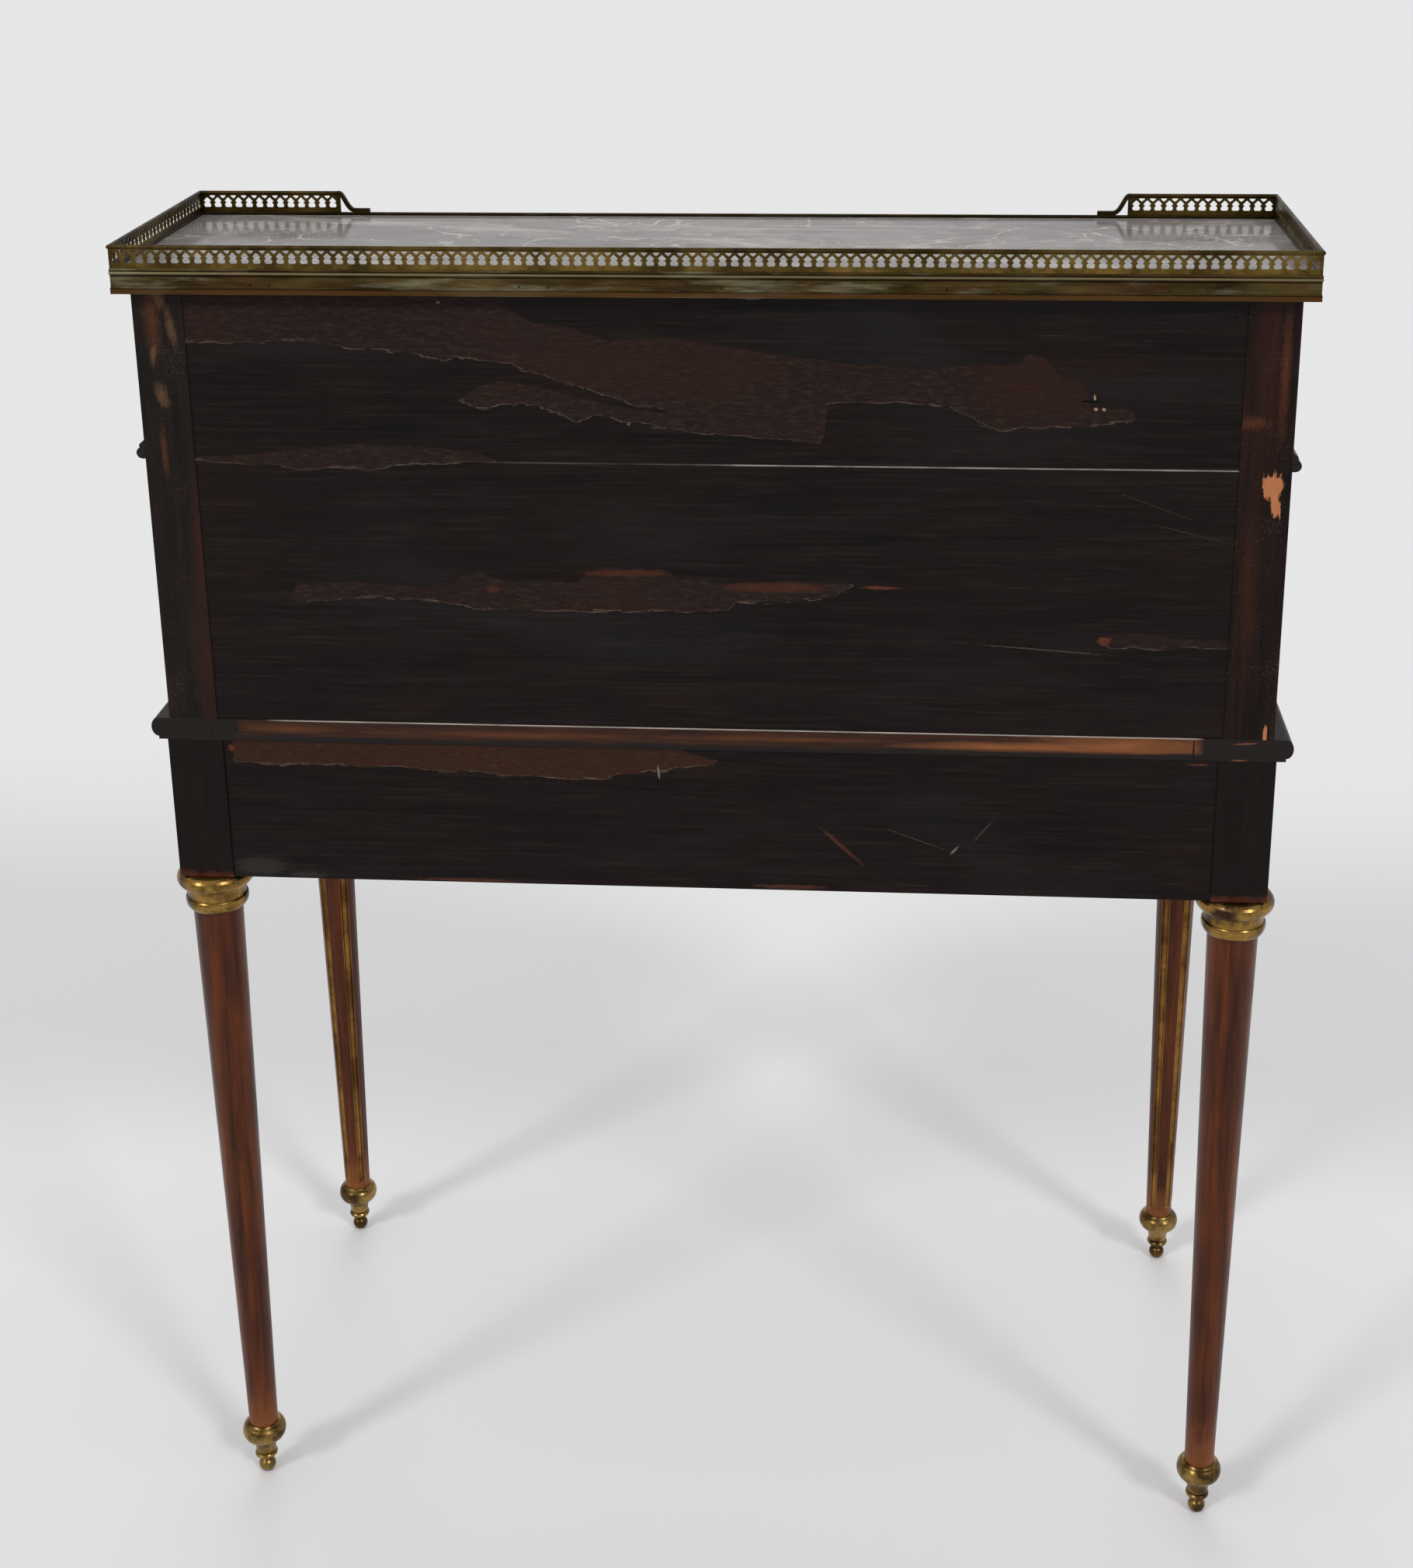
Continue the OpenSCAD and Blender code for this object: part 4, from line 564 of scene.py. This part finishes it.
def forged_iron():
    """Wrought iron of the bolt: dull grey, with brown rust in patches of a few millimetres."""
    material, tree, mm = begin("Wrought iron, bolt")
    rust = node(tree, "TexNoise", {"Vector": mm, "Scale": 1 / 3, "Detail": 5.0})
    rust = node(tree, "MapRange", [rust, 0.5, 0.7, 0, 0.7])
    colour = node(tree, "Mix", {0: rust, 6: "#8d8f92", 7: "#5a4a40"}, out=2, data_type="RGBA")
    return complete(material, {"Base Color": colour, "Metallic": 1.0, "Roughness": 0.45})


# ---------------------------------------------------------------- settings


def colour_setting(name, text, hex_colour):
    """A colour that a user may change."""
    return bpy.props.FloatVectorProperty(
        name=name, description=text, subtype="COLOR", size=4, min=0, max=1, default=linear(hex_colour)
    )


class BdjColours(bpy.types.PropertyGroup):
    """Colours of the main finishes"""

    mahogany_dark: colour_setting("Mahogany, dark", "Darkest streaks of the reddish wood", "#2e1508")
    mahogany_light: colour_setting("Mahogany, light", "Lightest streaks of the reddish wood", "#77401f")
    ebonised: colour_setting("Ebonised veneer", "The black-stained veneer of the back", "#0a0706")
    groundwork: colour_setting("Groundwork", "The bare wood where veneer is lost", "#1c1412")
    brass: colour_setting("Brass", "Rubbed places of the cast brass", "#9c7a3e")
    patina: colour_setting("Patina", "The film on the cast brass", "#3e2d22")
    marble: colour_setting("Marble", "The grey ground of the marble", "#797573")
    leather: colour_setting("Leather", "The lighter parts of the writing leather", "#5a3321")
    floor: colour_setting("Floor", "The studio floor", "#e9e9ea")


class BdjStudio(bpy.types.PropertyGroup):
    """Sizes and strengths of the studio"""

    floor_radius: bpy.props.FloatProperty(
        name="Floor radius", description="Reach of the floor round the table", default=60.0, unit="LENGTH"
    )
    sky: bpy.props.FloatProperty(
        name="Sky", description="Strength of the soft light from all round", default=0.88, min=0.0
    )


def register():
    for cls in CLASSES:
        bpy.utils.register_class(cls)
    bpy.types.Scene.bdj_colours = bpy.props.PointerProperty(type=BdjColours)
    bpy.types.Scene.bdj_studio = bpy.props.PointerProperty(type=BdjStudio)


def unregister():
    del bpy.types.Scene.bdj_studio
    del bpy.types.Scene.bdj_colours
    for cls in reversed(CLASSES):
        bpy.utils.unregister_class(cls)


# ---------------------------------------------------------------- operators


class BDJ_OT_legs(bpy.types.Operator):
    """Finishes the legs, and the brass of their capitals, sabots and flutes"""

    bl_idname = "bdj.legs"
    bl_label = "Legs and their mounts"

    def execute(self, context):
        colours = context.scene.bdj_colours

        def rubbed_feet(tree, mm):
            """Shoes and brooms have rubbed the legs pale up to about 90 mm above the floor."""
            z = node(tree, "SeparateXYZ", [mm], out="Z")
            scuffs = node(tree, "TexNoise", {"Vector": mm, "Scale": 1 / 14, "Detail": 3.0})
            reach = node(tree, "Math", [scuffs, 40, z], operation="MULTIPLY_ADD")
            return node(tree, "MapRange", [reach, 118, 66, 0, 0.8])

        wood = polished_wood(
            "Mahogany under shellac, legs", "z", "#301205", "#733813", roughness=0.26, ior=1.28,
            worn="#8a5028", wear=rubbed_feet,
        )
        dress(wood, "leg_rear_left", "leg_rear_right", "leg_front_left", "leg_front_right")
        bright, dull = tuple(colours.brass), tuple(colours.patina)
        dress(aged_brass("Cast brass, capitals", bright, dull, roughness=0.24, film_mm=22), "leg_capitals")
        sabots = aged_brass("Cast brass, sabots", "#a3854c", "#4a3720", roughness=0.24, film_mm=20)
        dress(sabots, "leg_sabots")
        dress(aged_brass("Sheet brass, flutes", "#99713c", "#6b4825", hollow_mm=1.0), "flute_liners")
        return {"FINISHED"}


class BDJ_OT_frame(bpy.types.Operator):
    """Finishes the corner blocks, frieze, rails and runners"""

    bl_idname = "bdj.frame"
    bl_label = "Frame of the table"

    def execute(self, context):
        def rubbed_ends(tree, mm):
            """The blocks' lower ends are rubbed to red wood over a few millimetres."""
            z = node(tree, "SeparateXYZ", [mm], out="Z")
            scuffs = node(tree, "TexNoise", {"Vector": mm, "Scale": 1 / 9, "Detail": 4.0})
            reach = node(tree, "Math", [scuffs, -12, z], operation="MULTIPLY_ADD")
            return node(tree, "MapRange", [reach, FRIEZE_Z0, FRIEZE_Z0 - 7, 0, 0.8])

        blocks = polished_wood(
            "Ebonised mahogany, blocks", "z", "#0a0605", "#1c110c", ior=1.22, worn="#5e2c1a", wear=rubbed_ends
        )
        dress(blocks, "corner_blocks")
        scars = (
            ("#4a4440", 0.25, ((368, 611, 22, 8, 0), (330, 604, 16, 3, 0))),
            ("#5c3324", 0.5, ((-101, 641, 24, 1.6, -43), (-60, 604, 30, 2, 0), (200, 603, 40, 1.5, 0))),
            ("#8a8078", 0.55, ((43, 701, 0.9, 6, 6), (-190, 639, 5, 0.9, 50))),
            ("#5e564f", 0.45, ((-212, 656, 13, 0.5, 52), (-160, 648, 24, 0.4, -20))),
            ("#6b381f", 0.6, ((385, 714, 2.5, 3, 40), (-376, 717, 8, 0.8, 0))),
        )
        frieze = veneered_back("Ebonised veneer, frieze", FRIEZE_TEARS, scars, fresh="#442617")
        dress(frieze, "frieze_back")
        sides = polished_wood("Ebonised mahogany, frieze sides", "y", "#0c0807", "#211510", ior=1.25)
        dress(sides, "frieze_sides")
        dress(polished_wood("Mahogany, rails", "x", "#22100a", "#4a2417"), "front_rails")
        dress(polished_wood("Oak, runners", "y", "#4a3320", "#7a5a3c", roughness=0.7), "runners")
        return {"FINISHED"}


class BDJ_OT_top(bpy.types.Operator):
    """Finishes the table top"""

    bl_idname = "bdj.top"
    bl_label = "Table top"

    def execute(self, context):
        dress(table_edge("Stained mahogany, table top", "x", "#160c08", "#341c12"), "table_field")
        dress(table_edge("Ebonised mahogany, cleats", "y", "#0f0b09", "#241812"), "table_cleats")
        return {"FINISHED"}


class BDJ_OT_back(bpy.types.Operator):
    """Finishes the veneered back, its stiles and the sides"""

    bl_idname = "bdj.back"
    bl_label = "Back and sides of the raised part"

    def execute(self, context):
        dust = ((JOINT_Z, -440, -5, 0.8), (JOINT_Z, 0, 160, 0.15))
        chips = (
            ("#a08468", 0.9, ((-287, 1000, 1.6, 1.3, 0), (-293, 1000, 1.3, 1.2, 0), (-286, 1009, 0.8, 2, 9))),
            ("#050404", 1.0, ((-284, 1006, 8, 1.1, 0), (-385, 1070, 3, 1.2, 10))),
            ("#6e6258", 0.7, ((-33, 1082, 9, 1.2, 0), (200, 1077, 1.5, 1.5, 0), (60, 985, 1.2, 1.2, 0))),
            ("#2b221d", 0.7, ((399, 1030, 4, 70, 0),)),
        )
        dress(veneered_back("Ebonised veneer, upper back", UPPER_TEARS, chips, dust), "back_board_upper")
        scrapes = (
            ("#6e5a4e", 0.45, ((-254, 810, 50, 0.5, -4),)),
            ("#4a403a", 0.35, ((-336, 925, 30, 0.4, -20), (-360, 905, 34, 0.4, -14))),
            ("#5c3020", 0.8, ((-300, 818, 5, 4, 0), (-130, 858, 14, 1.5, 0))),
            ("#5a2f1a", 0.4, ((168, 852, 5, 3, 0), (-50, 857, 42, 4, 0), (66, 867, 34, 3, 0))),
        )
        dress(veneered_back("Ebonised veneer, lower back", LOWER_TEARS, scrapes, dust), "back_board_lower")
        dress(old_uprights(), "back_stiles", "upper_side_left", "upper_side_right")
        return {"FINISHED"}


class BDJ_OT_carcase(bpy.types.Operator):
    """Finishes the boards, partitions and moulding of the raised part"""

    bl_idname = "bdj.carcase"
    bl_label = "Inside of the raised part"

    def execute(self, context):
        dress(
            polished_wood("Mahogany, inside", "x", "#2e1a12", "#54341f", roughness=0.55),
            "base_board", "middle_board", "drawer_dividers", "cupboard_partitions", "top_board",
        )
        moulding = polished_wood("Ebonised mahogany, moulding", "x", "#0e0a09", "#231a16", ior=1.3)
        dress(moulding, "belt_moulding")
        return {"FINISHED"}


class BDJ_OT_marble(bpy.types.Operator):
    """Finishes the marble slab"""

    bl_idname = "bdj.marble"
    bl_label = "Marble slab"

    def execute(self, context):
        dress(polished_marble(), "marble_top")
        return {"FINISHED"}


class BDJ_OT_gallery(bpy.types.Operator):
    """Finishes the brass band, its pins and the pierced gallery"""

    bl_idname = "bdj.gallery"
    bl_label = "Band and gallery"

    def execute(self, context):
        dress(banded_brass(), "edge_band")
        sheet = aged_brass("Pierced sheet brass, gallery", "#76602f", "#46381b", roughness=0.32)
        dress(sheet, "gallery_back", "gallery_sides")
        dress(aged_brass("Drawn brass, gallery rail", "#5f4d2a", "#332815", roughness=0.3), "gallery_rail")
        dress(aged_brass("Brass pins", "#6e5c40", "#3c2f20", hollow_mm=1.0), "band_pins")
        return {"FINISHED"}


class BDJ_OT_slide(bpy.types.Operator):
    """Finishes the writing slide, its leather and its knobs"""

    bl_idname = "bdj.slide"
    bl_label = "Writing slide"

    def execute(self, context):
        colours = context.scene.bdj_colours
        dress(polished_wood("Mahogany, slide", "x", "#26110b", "#54291b"), "writing_slide")
        dress(writing_leather(), "slide_leather")
        knobs = aged_brass("Turned brass, slide knobs", tuple(colours.brass), tuple(colours.patina))
        dress(knobs, "slide_knobs")
        return {"FINISHED"}


class BDJ_OT_drawers(bpy.types.Operator):
    """Finishes the drawers with their rings, knobs and lock"""

    bl_idname = "bdj.drawers"
    bl_label = "Drawers"

    def execute(self, context):
        colours = context.scene.bdj_colours
        fronts = polished_wood(
            "Mahogany, drawer fronts", "x", tuple(colours.mahogany_dark), tuple(colours.mahogany_light), 0.28
        )
        dress(fronts, "long_drawer_front", "drawer_left_front", "drawer_centre_front", "drawer_right_front")
        lining = polished_wood("Oak, drawer linings", "y", "#6a4c30", "#94724c", roughness=0.75)
        dress(lining, "long_drawer_box", "drawer_left_box", "drawer_centre_box", "drawer_right_box")
        brass = aged_brass("Cast brass, drawer fittings", tuple(colours.brass), tuple(colours.patina))
        dress(brass, "long_drawer_rosettes", "long_drawer_lock", "ring_left", "ring_right",
              "drawer_left_knob", "drawer_centre_knob", "drawer_right_knob")
        return {"FINISHED"}


class BDJ_OT_doors(bpy.types.Operator):
    """Finishes the doors, hinges, locks, bolt and key"""

    bl_idname = "bdj.doors"
    bl_label = "Doors"

    def execute(self, context):
        colours = context.scene.bdj_colours
        dark, light = tuple(colours.mahogany_dark), tuple(colours.mahogany_light)
        frames = polished_wood("Mahogany, door frames", "z", dark, light, 0.28)
        dress(frames, "door_left_frame", "door_right_frame")
        panels = polished_wood("Mahogany, door panels", "z", "#361c0f", "#7e4425", roughness=0.26)
        dress(panels, "door_left_panel", "door_right_panel")
        dress(aged_brass("Cast brass, door fittings", tuple(colours.brass), tuple(colours.patina)),
              "hinge_fixed_leaves", "door_left_hinges", "door_right_hinges", "door_left_lock",
              "door_right_lock", "door_key")
        dress(forged_iron(), "door_bolt")
        return {"FINISHED"}


class BDJ_OT_stage(bpy.types.Operator):
    """Sets the pale floor, the studio light and the camera"""

    bl_idname = "bdj.stage"
    bl_label = "Studio"

    def execute(self, context):
        scene = context.scene
        studio = scene.bdj_studio
        bm = bmesh.new()
        bmesh.ops.create_circle(bm, cap_ends=True, radius=studio.floor_radius, segments=64)
        mesh = bpy.data.meshes.new("Floor")
        bm.to_mesh(mesh)
        bm.free()
        floor = bpy.data.objects.new("Floor", mesh)
        scene.collection.objects.link(floor)
        material = begin("Painted studio floor, matt")[0]
        mesh.materials.append(
            complete(material, {"Base Color": tuple(scene.bdj_colours.floor), "Roughness": 0.9, "IOR": 1.3})
        )

        # The studio is dimmer low down, so that low reflections don't turn the dark back and the marble
        # white. Just over the horizon it is as pale as its floor, as in a cove
        world = bpy.data.worlds.new("Studio")
        scene.world = world
        world.use_nodes = True
        tree = world.node_tree
        tree.nodes.clear()
        height = node(tree, "SeparateXYZ", [node(tree, "TexCoord", out="Generated")], out="Z")
        strength = node(tree, "MapRange", [height, 0, 1, 0.5 * studio.sky, 0.8 * studio.sky])
        cove = node(tree, "MapRange", [height, 0, 0.15, 0.3 * studio.sky, 0])
        strength = node(tree, "Math", [strength, cove], operation="ADD")
        background = node(tree, "Background", {"Color": "#f8f8f8", "Strength": strength})
        node(tree, "OutputWorld", {"Surface": background})

        # Broad, far lamps: their light is even over the floor, and the legs throw soft shadows
        for name, place, spread, energy in LAMPS:
            light = bpy.data.lights.new(name, "SUN")
            light.angle = math.radians(spread)
            light.energy = energy
            lamp = bpy.data.objects.new(name, light)
            lamp.location = place
            lamp.rotation_euler = (-Vector(place)).to_track_quat("-Z", "Y").to_euler()
            scene.collection.objects.link(lamp)

        camera = bpy.data.cameras.new("Camera")
        camera.sensor_width = SENSOR_MM
        camera.lens = LENS_MM
        camera.shift_x, camera.shift_y = LENS_SHIFT
        eye = bpy.data.objects.new("Camera", camera)
        eye.location = EYE_PLACE
        eye.rotation_euler = [math.radians(angle) for angle in EYE_TURN]
        scene.collection.objects.link(eye)
        scene.camera = eye
        scene.view_settings.view_transform = "Standard"
        return {"FINISHED"}


class BDJ_PT_panel(bpy.types.Panel):
    """Lists the settings, and the steps that dress the table"""

    bl_label = "Bonheur du jour"
    bl_idname = "BDJ_PT_panel"
    bl_space_type = "VIEW_3D"
    bl_region_type = "UI"
    bl_category = "Bonheur du jour"

    def draw(self, context):
        for settings in (context.scene.bdj_colours, context.scene.bdj_studio):
            for name in settings.__annotations__:
                self.layout.prop(settings, name)
        for cls in OPERATORS:
            self.layout.operator(cls.bl_idname)


OPERATORS = (
    BDJ_OT_legs, BDJ_OT_frame, BDJ_OT_top, BDJ_OT_back, BDJ_OT_carcase, BDJ_OT_marble, BDJ_OT_gallery,
    BDJ_OT_slide, BDJ_OT_drawers, BDJ_OT_doors, BDJ_OT_stage,
)
CLASSES = (BdjColours, BdjStudio, *OPERATORS, BDJ_PT_panel)


def main():
    register()
    for cls in OPERATORS:
        group, name = cls.bl_idname.split(".")
        getattr(getattr(bpy.ops, group), name)()


if __name__ == "__main__":
    main()
